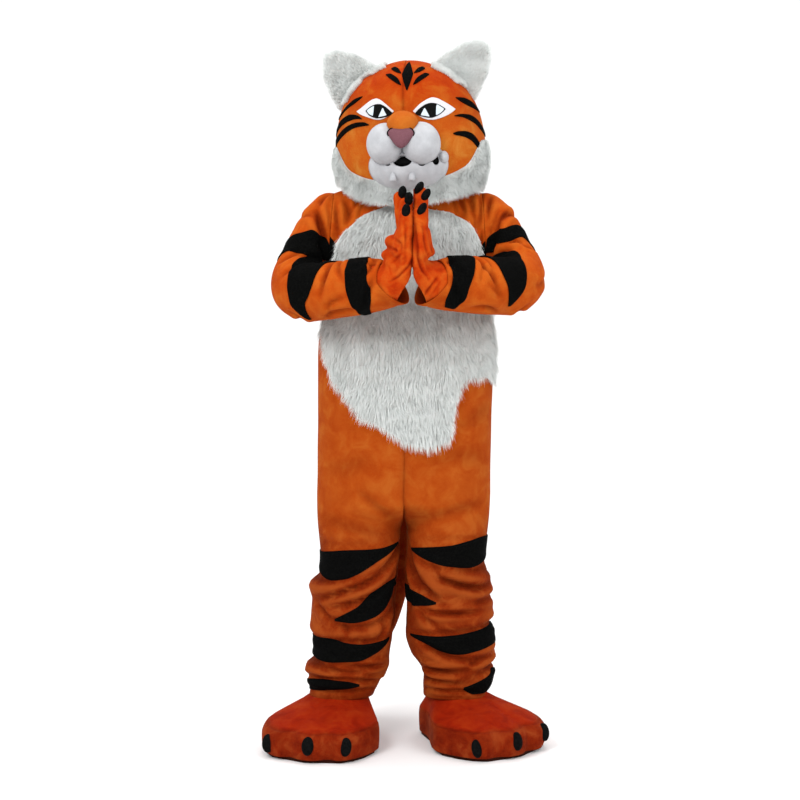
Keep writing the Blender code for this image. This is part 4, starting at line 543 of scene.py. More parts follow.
def mixed(made, share, first, second, blend="MIX"):
    """first and second are sockets or colours; share is a socket or a number."""
    mix = node(made, "ShaderNodeMix", data_type="RGBA", blend_type=blend)
    for value, into in ((share, mix.inputs[0]), (first, mix.inputs[6]), (second, mix.inputs[7])):
        if isinstance(value, (int, float)):
            into.default_value = value
        elif isinstance(value, tuple):
            into.default_value = (*value, 1.0)
        else:
            link(made, value, into)
    return mix.outputs[2]


def between(made, value, low, high, to_low=0.0, to_high=1.0):
    scale = node(made, "ShaderNodeMapRange", clamp=True)
    link(made, value, scale.inputs["Value"])
    for name, number in (("From Min", low), ("From Max", high), ("To Min", to_low), ("To Max", to_high)):
        scale.inputs[name].default_value = number
    return scale.outputs["Result"]


def shade(made, colour, bumps=()):
    """Joins the colour and the bumps, (height socket, distance in metres, strength), to the shader."""
    shader = made.node_tree.nodes["Principled BSDF"]
    link(made, colour, shader.inputs["Base Color"])
    last = None
    for height, distance, strength in bumps:
        bump = node(made, "ShaderNodeBump", Distance=distance, Strength=strength)
        link(made, height, bump.inputs["Height"])
        if last:
            link(made, last, bump.inputs["Normal"])
        last = bump.outputs["Normal"]
    if last:
        link(made, last, shader.inputs["Normal"])


def shade_and_highlight_of(made):
    return node(made, "ShaderNodeAttribute", attribute_name="shade_and_highlight").outputs["Fac"]


def plush(name, dark, body, light, lower=None, lift=None):
    """Short plush: the nap lies in brushed patches and the pile is speckled; creases get painted shade and
    ridges a painted highlight. lower is (dark, body, light, (low, high)) for what lies below; lift is
    (factors, (low, high)), painted light that brightens what lies above."""
    made = material(name, sheen=0.08, sheen_rough=0.35, specular=0.04, sheen_tint=(0.95, 0.34, 0.09))
    nap = noise_of(made, 0.050, 4.0, 0.6, distort=0.5)
    fine = noise_of(made, 0.0013, 2.0, 0.7)
    streak = noise_of(made, 0.008, 3.0, 0.65, distort=1.5)
    colour = ramp(made, nap, ((0.36, dark), (0.50, body), (0.66, light)))
    colour = mixed(made, between(made, streak, 0.45, 0.75, 0.0, 0.3), colour, light)
    ridge_highlight = light
    height = node(made, "ShaderNodeSeparateXYZ")
    link(made, place_of(made), height.inputs[0])
    if lower:
        low = ramp(made, nap, ((0.36, lower[0]), (0.50, lower[1]), (0.66, lower[2])))
        low = mixed(made, between(made, streak, 0.45, 0.75, 0.0, 0.35), low, lower[2])
        above = between(made, height.outputs["Z"], *lower[3])
        colour, ridge_highlight = mixed(made, above, low, colour), mixed(made, above, lower[2], light)
    if lift:
        factors = mixed(made, between(made, height.outputs["Z"], *lift[1]), (1.0, 1.0, 1.0), lift[0])
        colour, ridge_highlight = (mixed(made, 1.0, part, factors, "MULTIPLY") for part in (colour, ridge_highlight))
    # Painted shade darkens the creases and a painted highlight lightens the ridges, as each point's shading
    # value says: above 0.5 shade, below it a highlight.
    crease_shade = mixed(made, 0.6, (0.30, 0.20, 0.16), dark)
    colour = mixed(made, between(made, shade_and_highlight_of(made), 0.5, 1.0, 0.0, 0.85), colour, crease_shade, "MULTIPLY")
    colour = mixed(made, between(made, shade_and_highlight_of(made), 0.48, 0.15, 0.0, 0.8), colour, ridge_highlight, "LIGHTEN")
    colour = mixed(made, between(made, fine, 0.40, 0.62, 0.0, 0.30), colour, dark)
    shade(made, colour, ((nap, 0.004, 0.25), (streak, 0.0022, 0.30), (fine, 0.0014, 0.6)))
    return made


# Below the crotch the suit is darker, partly in its cloth's colour and partly as painted shade where less
# light reaches near the floor; lift brightens the chest and shoulders with painted light.
ORANGE = plush("orange plush", (0.31, 0.042, 0.0026), (0.35, 0.057, 0.0046), (0.39, 0.088, 0.010),
               ((0.135, 0.0085, 0.0006), (0.185, 0.017, 0.0014), (0.29, 0.056, 0.009), (-1.02, -0.84)),
               lift=((1.28, 1.16, 0.95), (-0.42, -0.22)))
HEAD_PLUSH = plush("head plush", (0.33, 0.026, 0.0009), (0.37, 0.036, 0.0014), (0.41, 0.080, 0.006),
                   ((0.46, 0.088, 0.007), (0.48, 0.120, 0.011), (0.53, 0.190, 0.026), (0.10, 0.27)))
GLOVE = plush("glove plush", (0.36, 0.024, 0.0010), (0.44, 0.040, 0.0020), (0.52, 0.095, 0.009))
FOOT = plush("foot plush", (0.22, 0.0075, 0.0007), (0.29, 0.013, 0.0011), (0.34, 0.026, 0.0026),
             ((0.12, 0.0065, 0.0006), (0.19, 0.015, 0.0016), (0.27, 0.042, 0.0080), (-1.418, -1.408)))


def grey(level):
    return level, level, level


def plain(name, grain, low, high, *bumps, **looks):
    """A material mottled between two (place, colour). grain is the noise's size, with its detail and
    roughness where they aren't the usual ones. Each bump is (size, height, strength)."""
    made = material(name, **looks)
    shade(made, ramp(made, noise_of(made, *grain), (low, high)),
          [(noise_of(made, size), *relief) for size, *relief in bumps])
    return made


SOLE = plain("sole rubber", (0.003,), (0.35, (0.020, 0.0035, 0.001)), (0.7, (0.035, 0.006, 0.002)),
             roughness=0.85, specular=0.1)
METAL = plain("zip metal", (0.004,), (0.3, (0.30, 0.30, 0.31)), (0.7, (0.46, 0.46, 0.47)),
              roughness=0.38, specular=0.5, metal=1.0)
TAPE = plain("zip tape", (0.0012,), (0.35, (0.26, 0.045, 0.006)), (0.7, (0.40, 0.080, 0.012)),
             (0.0010, 0.0006, 0.6), roughness=0.85, specular=0.1)
BLACK = plain("black plush", (0.004,), (0.35, grey(0.0012)), (0.7, (0.0036, 0.0037, 0.0034)),
              (0.0013, 0.0012, 0.5), specular=0.02)
FUR = plain("white fur", (0.03, 4.0, 0.65), (0.3, (0.65, 0.68, 0.665)), (0.7, (0.775, 0.80, 0.785)),
            roughness=0.75, specular=0.2)
BACKING = plain("fur backing", (0.004,), (0.3, (0.55, 0.54, 0.52)), (0.7, (0.76, 0.75, 0.73)),
                (0.002, 0.002, 0.8))
NOSE = plain("nose felt", (0.002,), (0.35, (0.140, 0.055, 0.068)), (0.7, (0.190, 0.080, 0.100)),
             (0.0008, 0.0006, 0.5), roughness=0.8, sheen=0.05, specular=0.1)
CLAW = plain("claw vinyl", (0.006,), (0.3, grey(0.002)), (0.7, grey(0.006)), (0.001, 0.0004, 0.4),
             roughness=0.7, specular=0.02)
MESH = plain("mouth mesh", (0.001,), (0.4, grey(0.002)), (0.6, grey(0.006)), specular=0.02)
EYE_WHITE = plain("eye white", (0.004,), (0.3, (0.56, 0.55, 0.58)), (0.7, (0.63, 0.62, 0.645)),
                  (0.0009, 0.0005, 0.4), roughness=0.8, specular=0.05)
EYE_BLACK = plain("eye black", (0.002,), (0.3, grey(0.003)), (0.7, grey(0.008)), (0.0009, 0.0005, 0.4),
                  roughness=0.8, specular=0.02)
EYE_SHINE = plain("eye shine", (0.006,), (0.3, (0.47, 0.55, 0.62)), (0.7, (0.62, 0.69, 0.74)),
                  (0.0009, 0.0005, 0.3), roughness=0.7)
WHITE = material("white plush", sheen=0.1, sheen_rough=0.5, specular=0.06)
WHITE_PATCHES = ramp(WHITE, noise_of(WHITE, 0.03), ((0.3, (0.40, 0.405, 0.425)), (0.7, (0.51, 0.52, 0.54))))
shade(WHITE, mixed(WHITE, between(WHITE, noise_of(WHITE, 0.0016), 0.4, 0.65, 0.0, 0.35), WHITE_PATCHES,
                   (0.36, 0.365, 0.38)),
      ((noise_of(WHITE, 0.0016), 0.0012, 0.7), (noise_of(WHITE, 0.012), 0.002, 0.3)))

# ---------------------------------------------------------------- the suit

TROUSER_ROWS, CHEST_ROWS, PANEL_COLUMNS = 211, 64, 60
HEM_SHOWN = 0.122
SUIT_FOLDS, SLEEVE_FOLDED = 1.15, 1.2  # how much deeper the folds are than their tables say
SLACK, STITCHED = 0.0014, 0.0016  # how uneven the cloth is, and how far a seam draws it in
PANEL_WIDTH = 0.24  # about, to draw the seams
# The back lies flat by the zip: over what share of a panel, above what height, and how far in.
ZIP_FLAT, ZIP_FLAT_ABOVE, ZIP_SUNK = 0.08, 0.85, 0.0006
# A crease is half this deep where its painted shade is full.
SUIT_SHADE, SLEEVE_SHADE, HEAD_SHADE, FOOT_SHADE, GLOVE_SHADE = 0.020, 0.019, 0.016, 0.010, 0.007


def body_point(height, share, sign):
    half, front, back = read(TORSO, height)
    depth = front if sign < 0 else back
    angle = share * math.pi / 2
    power = 2 / ROUNDNESS
    return np.stack(np.broadcast_arrays(half * np.sin(angle) ** power,
                                        sign * depth * np.clip(np.cos(angle), 0, None) ** power, height), -1)


def leg_point(height, share, sign):
    inner, outer, front, back = read(LEG, height)
    depth = front if sign < 0 else back
    angle = share * math.pi
    power = 2 / ROUNDNESS
    x = (inner + outer) / 2 - (outer - inner) / 2 * powered(np.cos(angle), power)
    y = sign * depth * np.clip(np.sin(angle), 0, None) ** power
    return np.stack(np.broadcast_arrays(x, y, height), -1)


def armhole_point(share, sign):
    under, tip = np.array((TORSO[-1][1], 0.0, UNDERARM)), np.array(SHOULDER_TIP)
    angle = np.asarray(share, float)[..., None] * math.pi
    point = under + (tip - under) * (1 - np.cos(angle)) / 2
    point[..., 1] += sign * ARMHOLE_DEPTH * np.sin(angle[..., 0])
    return point


def top_point(share, sign):
    side, centre = np.array(NECK_SIDE), np.array(NECK_FRONT if sign < 0 else NECK_BACK)
    angle = np.clip(share / NECK_SHARE, 0, 1)[..., None] * math.pi / 2
    round_neck = np.concatenate([side[0] * np.sin(angle), side[1] + (centre[1] - side[1]) * np.cos(angle),
                                 side[2] + (centre[2] - side[2]) * np.cos(angle)], axis=-1)
    beyond = np.clip((share - NECK_SHARE) / (1 - NECK_SHARE), 0, 1)[..., None]
    on_shoulder = side + (np.array(SHOULDER_TIP) - side) * beyond
    return np.where(share[..., None] <= NECK_SHARE, round_neck, on_shoulder)


def panel_grid(sign):
    """One panel of the suit: its smooth surface and the ways out of it."""
    share = np.linspace(0, 1, PANEL_COLUMNS + 1)[None, :]
    height = np.linspace(HEM_SHOWN, UNDERARM, TROUSER_ROWS)[:, None]
    legs = (np.clip((CROTCH_FRONT - height) / (CROTCH_FRONT - CROTCH), 0, 1) ** 1.6)[..., None]
    low = (1 - legs) * body_point(height, share, sign) + legs * leg_point(height, share, sign)
    rise = np.linspace(0, 1, CHEST_ROWS + 1)[1:, None]
    bottom = body_point(np.full((1, 1), UNDERARM), share, sign)
    top = top_point(share, sign)
    centre = bottom[:, :1] + (top[:, :1] - bottom[:, :1]) * rise[..., None]
    centre[..., 1] += sign * 0.012 * np.sin(math.pi * rise)
    edge = armhole_point(rise, sign)
    s, r = share[..., None], rise[..., None]
    corners = ((1 - s) * ((1 - r) * bottom[:, :1] + r * top[:, :1])
               + s * ((1 - r) * armhole_point(0.0, sign) + r * armhole_point(1.0, sign)))
    chest = (1 - r) * bottom + r * top + (1 - s) * centre + s * edge - corners
    grid = np.concatenate([low, chest])
    normals = grid_normals(grid) * (-1 if sign > 0 else 1)
    normals[:TROUSER_ROWS, -1, 1] = 0.0
    normals[grid[:, 0, 2] < CROTCH, 0, 1] = 0.0
    normals[grid[:, 0, 2] > CROTCH_FRONT, 0, 0] = 0.0
    return grid, unit(normals)


def suit_place(grid):
    """Turns (eighths of a panel, height) into fractional row and column."""
    heights = grid[:, :, 2]

    def place(eighths, height):
        column = eighths / 8 * PANEL_COLUMNS
        nearest = int(np.clip(round(column), 0, heights.shape[1] - 1))
        return float(np.interp(height, heights[:, nearest], np.arange(len(heights)))), column
    return place


def make_panels():
    surfaces = {}
    share = np.linspace(0, 1, PANEL_COLUMNS + 1)[None, :]
    for side, word in SIDES:
        panels = {sign: panel_grid(sign) for sign in (-1, 1)}
        around, ways = round_leg(*zip(panels[-1], panels[1]))
        folds = metres(LEG_FOLDS[side] + CHEST_FOLDS[side], 1, 3, 5, 6, 7)
        folds = SUIT_FOLDS * fold_depths(around, ways, folds, suit_place(around))
        for name, sign in (("front", -1), ("back", 1)):
            grid, normals = panels[sign]
            height = grid[..., 2]
            depth = (folds if sign < 0 else folds[:, ::-1])[:, :PANEL_COLUMNS + 1].copy()
            outer, inner = read(metres(BAGGING[side]), height)
            depth += inner * smooth((0.34 - share) / 0.34) - outer * smooth((share - 0.62) / 0.38)
            slack = mottled(grid * (side, 1, 1), 0.050, 1.0 + side)
            depth += SLACK * slack * (0.5 + 1.6 * smooth((0.58 - height) / 0.15))
            below = np.where(height < UNDERARM, 1.0, 0.15)
            seams = below * np.exp(-((1 - share) * PANEL_WIDTH / 0.006) ** 2)
            seams = seams + np.exp(-(share * PANEL_WIDTH / 0.005) ** 2)
            depth += STITCHED * seams + 0.0015 * np.exp(-((height - HEM_SHOWN - 0.012) / 0.0025) ** 2)
            depth *= np.where(height > UNDERARM, np.minimum(smooth((1 - share) / 0.06) + 0.1, 1), 1.0)
            if sign > 0:
                off_zip = smooth(share / ZIP_FLAT)
                depth = np.where(height > ZIP_FLAT_ABOVE, depth * off_zip + ZIP_SUNK * (1 - off_zip), depth)
            surface = grid - depth[..., None] * normals
            surface[:, 0] += (SEAM / 2) * np.array((1.0, 0.0, 0.0))
            surface[:, -1, 1] += sign * SEAM / 2
            surface[..., 0] *= side
            ways = normals * (side, 1, 1)
            points, faces = wall(swayed(surface), swayed(surface - CLOTH * ways))
            faces = facing_out(points, faces, np.array((side * 0.1, 0.0, -0.9)))
            # Painted shade in the folds, seams and hem, and a painted highlight on the folds' ridges.
            panel = piece(f"{name}_{word}_cloth", points, faces, ORANGE, (f"{name}_{word}",),
                          shade_and_highlight=both_sides(creased(depth, SUIT_SHADE)))
            surfaces[name, side] = (surface, ways)
    return surfaces


def patch(name, surface, outline, place, made, nodes=(), lift=0.0004, thick=0.0022, size=(71, 17),
          world=swayed):
    """Cloth sewn on a surface: outline has rows of (across, lowest, highest place)."""
    grid, ways = surface
    ends = np.linspace(0, 1, size[0])
    first, last = outline[0][0], outline[-1][0]
    across = first + (last - first) * (0.5 - 0.5 * np.cos(math.pi * ends))
    low, high = read(outline, across)
    up = 0.5 - 0.5 * np.cos(math.pi * np.linspace(0, 1, size[1]))
    rows, columns = np.zeros((size[1], size[0])), np.zeros((size[1], size[0]))
    for number, (at, lowest, highest) in enumerate(zip(across, low, high)):
        for step, share in enumerate(up):
            rows[step, number], columns[step, number] = place(at, lowest + (highest - lowest) * share)
    points, out = sampled(grid, rows, columns), unit(sampled(ways, rows, columns))
    edge = np.minimum(1.0, np.minimum.outer(np.sin(math.pi * np.linspace(0, 1, size[1])),
                                            np.sin(math.pi * ends)) * 3.0) ** 0.5
    outer = points + (lift + thick * (0.35 + 0.65 * edge))[..., None] * out
    inner = points + lift * out
    points, faces = wall(world(outer), world(inner))
    faces = facing_out(points, faces, points.mean(axis=0) - 0.3 * out.reshape(-1, 3).mean(axis=0))
    return piece(name, points, faces, made, nodes), (world(outer), out)


# ---------------------------------------------------------------- sleeves

SLEEVE_RINGS, SLEEVE_COLUMNS = 157, 84
LEAVING = (1.45, -0.05, 0.20)  # the way a sleeve leaves its armhole
CUFF_FROM, CUFF_WIDE, CUFF_SEAM = 11.2, 0.8, 11.72  # in rings
STRIPE_LIFT = 0.0015


def sleeve_surface(side):
    """The sleeve's rings from the armhole to the cuff, the wrist and the forearm's direction."""
    around = np.arange(SLEEVE_COLUMNS) / SLEEVE_COLUMNS
    armhole = np.where((around <= 0.5)[:, None], armhole_point(around * 2, -1),
                       armhole_point(2 - around * 2, 1))
    elbow, wrist = Vector(ELBOWS[side]), Vector((side * PALM_X + WRIST_OUT, *WRIST))
    centre = Vector(armhole.mean(axis=0))
    upper, fore = (elbow - centre).normalized(), (wrist - elbow).normalized()
    bend = upper.angle(fore)
    turn_radius = ARM_RADIUS + ELBOW_CREASE
    start = elbow - upper * turn_radius * math.tan(bend / 2)
    axis = upper.cross(fore).normalized()
    pivot = np.array(start + axis.cross(upper).normalized() * turn_radius)
    turn = Vector((1.0, 0.0, 0.0)).rotation_difference(upper).to_matrix()
    under, front = np.array(turn @ Vector((0.0, 0.0, -1.0))), np.array(turn @ Vector((0.0, -1.0, 0.0)))
    angle = (around * 2 * math.pi)[:, None]
    spokes = under * np.cos(angle) + front * np.sin(angle)
    first_bend = np.array(start) + spokes * ARM_RADIUS
    leave = SHOULDER_PULL * np.array(LEAVING)
    arrive = SHOULDER_PULL * np.array(upper)
    rings = []
    for ring in np.linspace(0, 12, SLEEVE_RINGS):
        turned = np.array(Matrix.Rotation(bend * min(max(ring - 4, 0) / 4, 1), 3, axis))
        if ring < 4:
            t = ring / 4
            rings.append((2 * t**3 - 3 * t**2 + 1) * armhole + (t**3 - 2 * t**2 + t) * leave
                         + (3 * t**2 - 2 * t**3) * first_bend + (t**3 - t**2) * arrive)
        elif ring < 8:
            rings.append(pivot + (first_bend - pivot) @ turned.T)
        else:
            share, radius = read(FOREARM, ring)
            middle = pivot + turned @ (np.array(start) - pivot)
            at = middle + (np.array(wrist) - middle) * share
            ways = spokes @ turned.T
            low = CUFF_LENGTH * radius * share ** 6
            rings.append(at + ways * radius + np.array(fore) * low * np.maximum(-ways[:, 2:], 0.0))
    return np.array(rings), wrist, fore


def sleeve_place(column, ring):
    return ring / 12 * (SLEEVE_RINGS - 1), (column % 12) / 12 * SLEEVE_COLUMNS


def make_sleeves():
    surfaces = {}
    for side, word in SIDES:
        grid, _, _ = sleeve_surface(side)
        normals = grid_normals(grid, ring=True)
        half_way = grid[SLEEVE_RINGS // 2]
        if np.mean(np.sum(normals[SLEEVE_RINGS // 2] * (half_way - half_way.mean(axis=0)), axis=-1)) < 0:
            normals = -normals
        folds = metres(SLEEVE_FOLDS[side], 6, 7)
        depth = SLEEVE_FOLDED * fold_depths(grid, normals, folds, sleeve_place, ring=True)
        depth += SLACK * mottled(grid * (side, 1, 1), 0.042, 4.0 + side)
        rows = np.linspace(0, 12, SLEEVE_RINGS)[:, None]
        columns = np.arange(SLEEVE_COLUMNS)[None, :] * 12 / SLEEVE_COLUMNS
        outer = smooth(1 - np.abs(columns - 6.2 - 1.5 * smooth((rows - 4) / 3.5)) / 3.6)
        bagging = read(metres(SLEEVE_BAGGING, 1), rows)[0] * outer
        depth = depth * smooth(rows / 0.3) - bagging
        depth += 0.0004 * np.exp(-(rows / 0.16) ** 2)
        cuff = smooth((rows - CUFF_FROM) / CUFF_WIDE)
        depth += 0.0012 * np.exp(-((rows - CUFF_SEAM) / 0.07) ** 2) + 0.0024 * cuff
        depth -= 0.008 * cuff * np.exp(-(np.minimum(columns, 12 - columns) / 1.6) ** 2)
        surface = grid - depth[..., None] * normals
        surface[0, :, 0] += SEAM
        surface[..., 0] *= side
        ways = normals * (side, 1, 1)
        points, faces = wall(swayed(surface), swayed(surface - CLOTH * ways), ring=True)
        faces = faces if side > 0 else turned_over(faces)
        # Painted shade in the sleeve's folds and seams, and a painted highlight on the folds' ridges.
        sleeve = piece(f"sleeve_{word}_cloth", points, faces, ORANGE, (f"sleeve_{word}",),
                       shade_and_highlight=both_sides(creased(depth + bagging, SLEEVE_SHADE)))
        surfaces[side] = (surface, ways)
    return surfaces


def make_stripes(suit, sleeves):
    for (where, side), outline in LEG_STRIPES.items():
        leg = round_leg(*zip(suit["front", side], suit["back", side]))
        name = f"stripe_{WORDS[side]}_{where}"
        made, _ = patch(f"{name}_cloth", leg, metres(outline, 1, 2), suit_place(leg[0]), BLACK, (name,))
    for (where, side), outline in SLEEVE_STRIPES.items():
        name = f"stripe_{WORDS[side]}_{where}_sleeve"
        made, _ = patch(f"{name}_cloth", closed(*sleeves[side]), outline, sleeve_place, BLACK, (name,),
                        STRIPE_LIFT)
    for side, outline in CHEST_STRIPES.items():
        front = suit["front", side]
        made, _ = patch(f"stripe_{WORDS[side]}_chest", front, metres(outline, 1, 2), suit_place(front[0]),
                        BLACK, size=(25, 17))


# ---------------------------------------------------------------- fur


# How many hairs, and how wide each is at its root.
BELLY_HAIRS, EAR_HAIRS, EAR_ROOT_HAIRS, RUFF_HAIRS = 50000, 12000, 44000, 27000
BELLY_HAIR, EAR_HAIR, RUFF_HAIR = 0.0012, 0.0010, 0.0011
CURL, SPREAD = 0.25, 0.35


def fur(name, roots, ways, combs, lengths, width):
    """Strands as tapering blades: each leaves along its way, and bends towards its comb."""
    count = len(roots)
    loose = DICE.normal(size=(count, 3))
    tuft = np.stack([mottled(roots, 0.016, seed) for seed in (1.0, 2.0, 3.0)], -1)
    first = unit(ways + combs * 0.55 + SPREAD * 0.5 * loose + 0.30 * tuft)
    second = unit(ways * 0.25 + combs * (1.0 + CURL) + SPREAD * 0.35 * loose + 0.55 * tuft)
    lengths = lengths * (0.72 + 0.45 * DICE.random(count)) * (1 + 0.16 * mottled(roots, 0.020, 5.0))
    half = unit(np.cross(first, ways + 0.35 * loose)) * width / 2
    middle = roots + first * (lengths * 0.45)[:, None]
    tip = middle + second * (lengths * 0.55)[:, None]
    points = np.stack([roots - half, roots + half, middle + half * 0.75, middle - half * 0.75, tip], axis=1)
    mesh = bpy.data.meshes.new(name)
    mesh.vertices.add(count * 5)
    mesh.vertices.foreach_set("co", points.astype(np.float32).ravel())
    first_corner = np.arange(count) * 5
    corners = np.stack([first_corner, first_corner + 1, first_corner + 2, first_corner + 3,
                        first_corner + 3, first_corner + 2, first_corner + 4], axis=1)
    mesh.loops.add(count * 7)
    mesh.loops.foreach_set("vertex_index", corners.astype(np.int32).ravel())
    starts = np.stack([np.arange(count) * 7, np.arange(count) * 7 + 4], axis=1)
    mesh.polygons.add(count * 2)
    mesh.polygons.foreach_set("loop_start", starts.astype(np.int32).ravel())
    mesh.update(calc_edges=True)
    mesh.shade_smooth()
    mesh.materials.append(FUR)
    thing = bpy.data.objects.new(name, mesh)
    bpy.context.scene.collection.objects.link(thing)
    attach(thing, "costume")
    return thing


def strewn(grid, ways, count, ring=False):
    """Random places on a grid of world points, even by area: points, normals, and shares of the rows and
    columns passed."""
    if ring:
        grid, ways = closed(grid, ways)
    a, b, c, d = grid[:-1, :-1], grid[:-1, 1:], grid[1:, 1:], grid[1:, :-1]
    area = np.linalg.norm(np.cross(c - a, d - b), axis=-1).ravel() / 2
    cell = DICE.choice(len(area), size=count, p=area / area.sum())
    rows, columns = np.divmod(cell, grid.shape[1] - 1)
    rows, columns = rows + DICE.random(count), columns + DICE.random(count)
    shares = rows / (grid.shape[0] - 1), columns / (grid.shape[1] - 1)
    return sampled(grid, rows, columns), unit(sampled(ways, rows, columns)), *shares


def make_belly(suit):
    front = whole_front(suit["front", -1], suit["front", 1])
    place = suit_place(front[0])

    def centred(eighths, height):
        return place(eighths + 8, height)

    backing, (outer, ways) = patch("belly_backing", front, metres(BELLY, 1, 2), centred, BACKING, ("belly",),
                                   thick=0.0020, size=(121, 71))
    roots, out, rows, columns = strewn(outer, ways, BELLY_HAIRS)
    down = np.tile((0.0, 0.0, -1.0), (len(roots), 1))
    down[:, 0] += 0.35 * mottled(roots, 0.07, 2.0) + 0.25 * (roots[:, 0] / 0.2)
    rim = np.minimum(np.minimum(rows, 1 - rows) * 8, 1) * np.minimum(np.minimum(columns, 1 - columns) * 14, 1)
    lengths = 0.020 + 0.008 * rim + 0.010 * smooth((0.10 - rows) / 0.1)
    lengths *= 1 - 0.75 * smooth((np.abs(columns - 0.46) - 0.40) / 0.12)
    combs = unit(down - np.sum(down * out, axis=1)[:, None] * out)
    pile = fur("belly_fur", roots, out * 0.55, combs, lengths, BELLY_HAIR)


# ---------------------------------------------------------------- head

HEAD_ROWS, HALF_COLUMNS, CROWN_EASE = 121, 80, 1.8
NOSE_CORNERS = (
    (-37.5, 6), (-29, 17), (-3, 20), (25.5, 16), (33.5, 2), (25, -12.5), (8.5, -30), (-3.5, -35.5),
    (-15, -29), (-30, -9.5),
)
NOSE_PLACE, NOSE_DEPTH = (0.0, -0.238, -0.040), 0.024
# The nose's sections: share of its depth, share of its outline.
NOSE_SECTIONS = ((0.0, 0.9), (0.2, 0.98), (0.4, 1.0), (0.6, 0.96), (0.78, 0.84), (0.90, 0.66),
                 (0.97, 0.42), (1.0, 0.12))
# The muzzle's pads as they look in the photo, the plane they meet in, and the gaps that show the dark mouth.
PADS = {1: ((0.0430, -0.176, -0.0605), (0.0510, 0.066, 0.0560)),
        -1: ((-0.0480, -0.176, -0.0575), (0.0500, 0.066, 0.0545))}
PADS_MEET = -0.0045
MOUTH = ((0.020, -0.150, -0.106), (0.072, 0.052, 0.016))
MOUTH_GAPS = (((-0.005, -0.215, -0.104), (0.0255, 0.070, 0.0150)),
              ((-0.043, -0.205, -0.110), (0.0070, 0.040, 0.0045)),
              ((0.045, -0.205, -0.1135), (0.0095, 0.040, 0.0055)),
              ((0.080, -0.195, -0.105), (0.0085, 0.060, 0.0130)))
JAW_LOBE = ((0.0985, -0.146, -0.0965), (0.0125, 0.034, 0.0170))
TOOTH_SPREAD, TOOTH_PLACE, TOOTH_SIZE = 0.0245, (-0.0065, -0.1955, -0.143), (0.0098, 0.023)
# A tooth's sections: share of its height, share of its radius.
TOOTH_SECTIONS = ((0.0, 1.0), (0.4, 0.86), (0.75, 0.60), (0.93, 0.30), (1.0, 0.08))
PIPING = 0.0015  # radius of the nose's piping
# The mouth's mesh: lowest and highest height, and the angle it spans.
MESH_SPAN = (-0.128, -0.097, 36)

# What is sewn on the face, side by side: across (cheeks in degrees from the front), lower and upper height.
EYE = {
    -1: ((-125.5, 33, 33.8), (-113, 23.8, 41), (-99, 17.2, 50.2), (-88, 12.5, 56.8), (-78.4, 9, 61),
         (-70, 7, 62.2), (-61.5, 6.1, 59.2), (-50, 8.8, 50.5), (-40.6, 13.5, 41.9), (-31, 19.5, 32.8),
         (-24.4, 25.5, 26.8)),
    1: ((25.7, 23.2, 24.2), (33, 16.5, 32), (40.5, 10.8, 39.6), (52.3, 3.5, 48), (64, 0.2, 54.6),
        (75.6, -0.4, 58.1), (87, 1.8, 55.6), (100, 6, 48.6), (112.8, 12, 41), (123, 18.8, 33.6),
        (131.1, 26.2, 27.4)),
}
IRIS = {
    -1: ((-99, 31.2, 32.8), (-88.4, 18.5, 40.2), (-78, 13, 45), (-68.2, 10, 47), (-59, 10, 46.2),
         (-50, 11, 41.8), (-41.3, 13, 35.2), (-33, 16, 27.2), (-26.2, 19.2, 20.6)),
    1: ((30.4, 16.6, 17.6), (38, 12.2, 26.2), (49.3, 8.3, 35), (60, 5.5, 40.8), (71.4, 4.5, 43.3),
        (82, 7.6, 42), (91, 12, 38.1), (100, 19, 32.2), (106.4, 25.8, 27.2)),
}
SHINE = {
    -1: ((-95, 30.8, 32.2), (-88.3, 22.2, 37.2), (-83, 19.2, 39.8), (-79.2, 17.4, 41.4), (-77.2, 27, 42),
         (-75.5, 40, 42.4)),
    1: ((82.6, 10.5, 20), (83.8, 11, 34), (85.6, 11.6, 38.2), (92, 15.4, 34.5), (98, 20.2, 30.4),
        (102.2, 25.4, 26.8)),
}
GLINT = {
    -1: ((-64, 13, 14.2), (-57.6, 13.8, 26.4), (-52.3, 14.4, 35.6), (-47.6, 15.2, 25.8), (-43, 16.4, 17.8)),
    1: ((45, 12, 13.2), (50, 10.8, 22.6), (54.6, 9.8, 30.2), (60.4, 8.6, 20.6), (66, 7.8, 8.8)),
}
CHEEKS = {
    -1: (
        ((38.5, 70.8, 72.4), (41.7, 64.3, 71.4), (47.9, 55.2, 69), (54.8, 48, 60.7), (61.3, 40, 50.5),
         (68, 30, 39), (76, 22, 25)),
        ((34, 12.2, 13.8), (37.5, 13.6, 21), (41.3, 14.2, 25.3), (49.2, 11.8, 28.5), (57.9, 5.2, 23.6),
         (66.4, -3, 14.6), (73.6, -12, 2), (83.3, -19, -11), (90, -23.5, -20.5)),
        ((26.4, -5.2, -3.6), (29, -5.8, 1), (31.8, -6.3, 4), (38.6, -7.2, 5.2), (47.8, -13.6, 1.3),
         (57.2, -24.5, -7.5), (67.9, -37, -20.8), (78, -45.5, -29), (88, -50, -37), (97.6, -49, -45))),
    1: (
        ((47.5, 57.2, 58.8), (51, 50, 59.2), (57, 42, 59.1), (63, 36.5, 56), (70, 32.5, 50), (78, 28, 40),
         (86, 25, 28)),
        ((40.5, 8.5, 10.1), (44, 7.8, 13), (48.5, 6.7, 15), (56.5, 0.2, 14.9), (66, -9, 8.5),
         (75, -22.5, -3.5), (84, -33, -18), (92, -37.5, -34)),
        ((37.2, -37.2, -35.4), (39.5, -40, -32), (42.4, -41.3, -30), (49, -45.2, -29.2),
         (56.6, -53.4, -33.5), (64.1, -67.2, -46), (71, -79, -64), (76, -86, -80))),
}
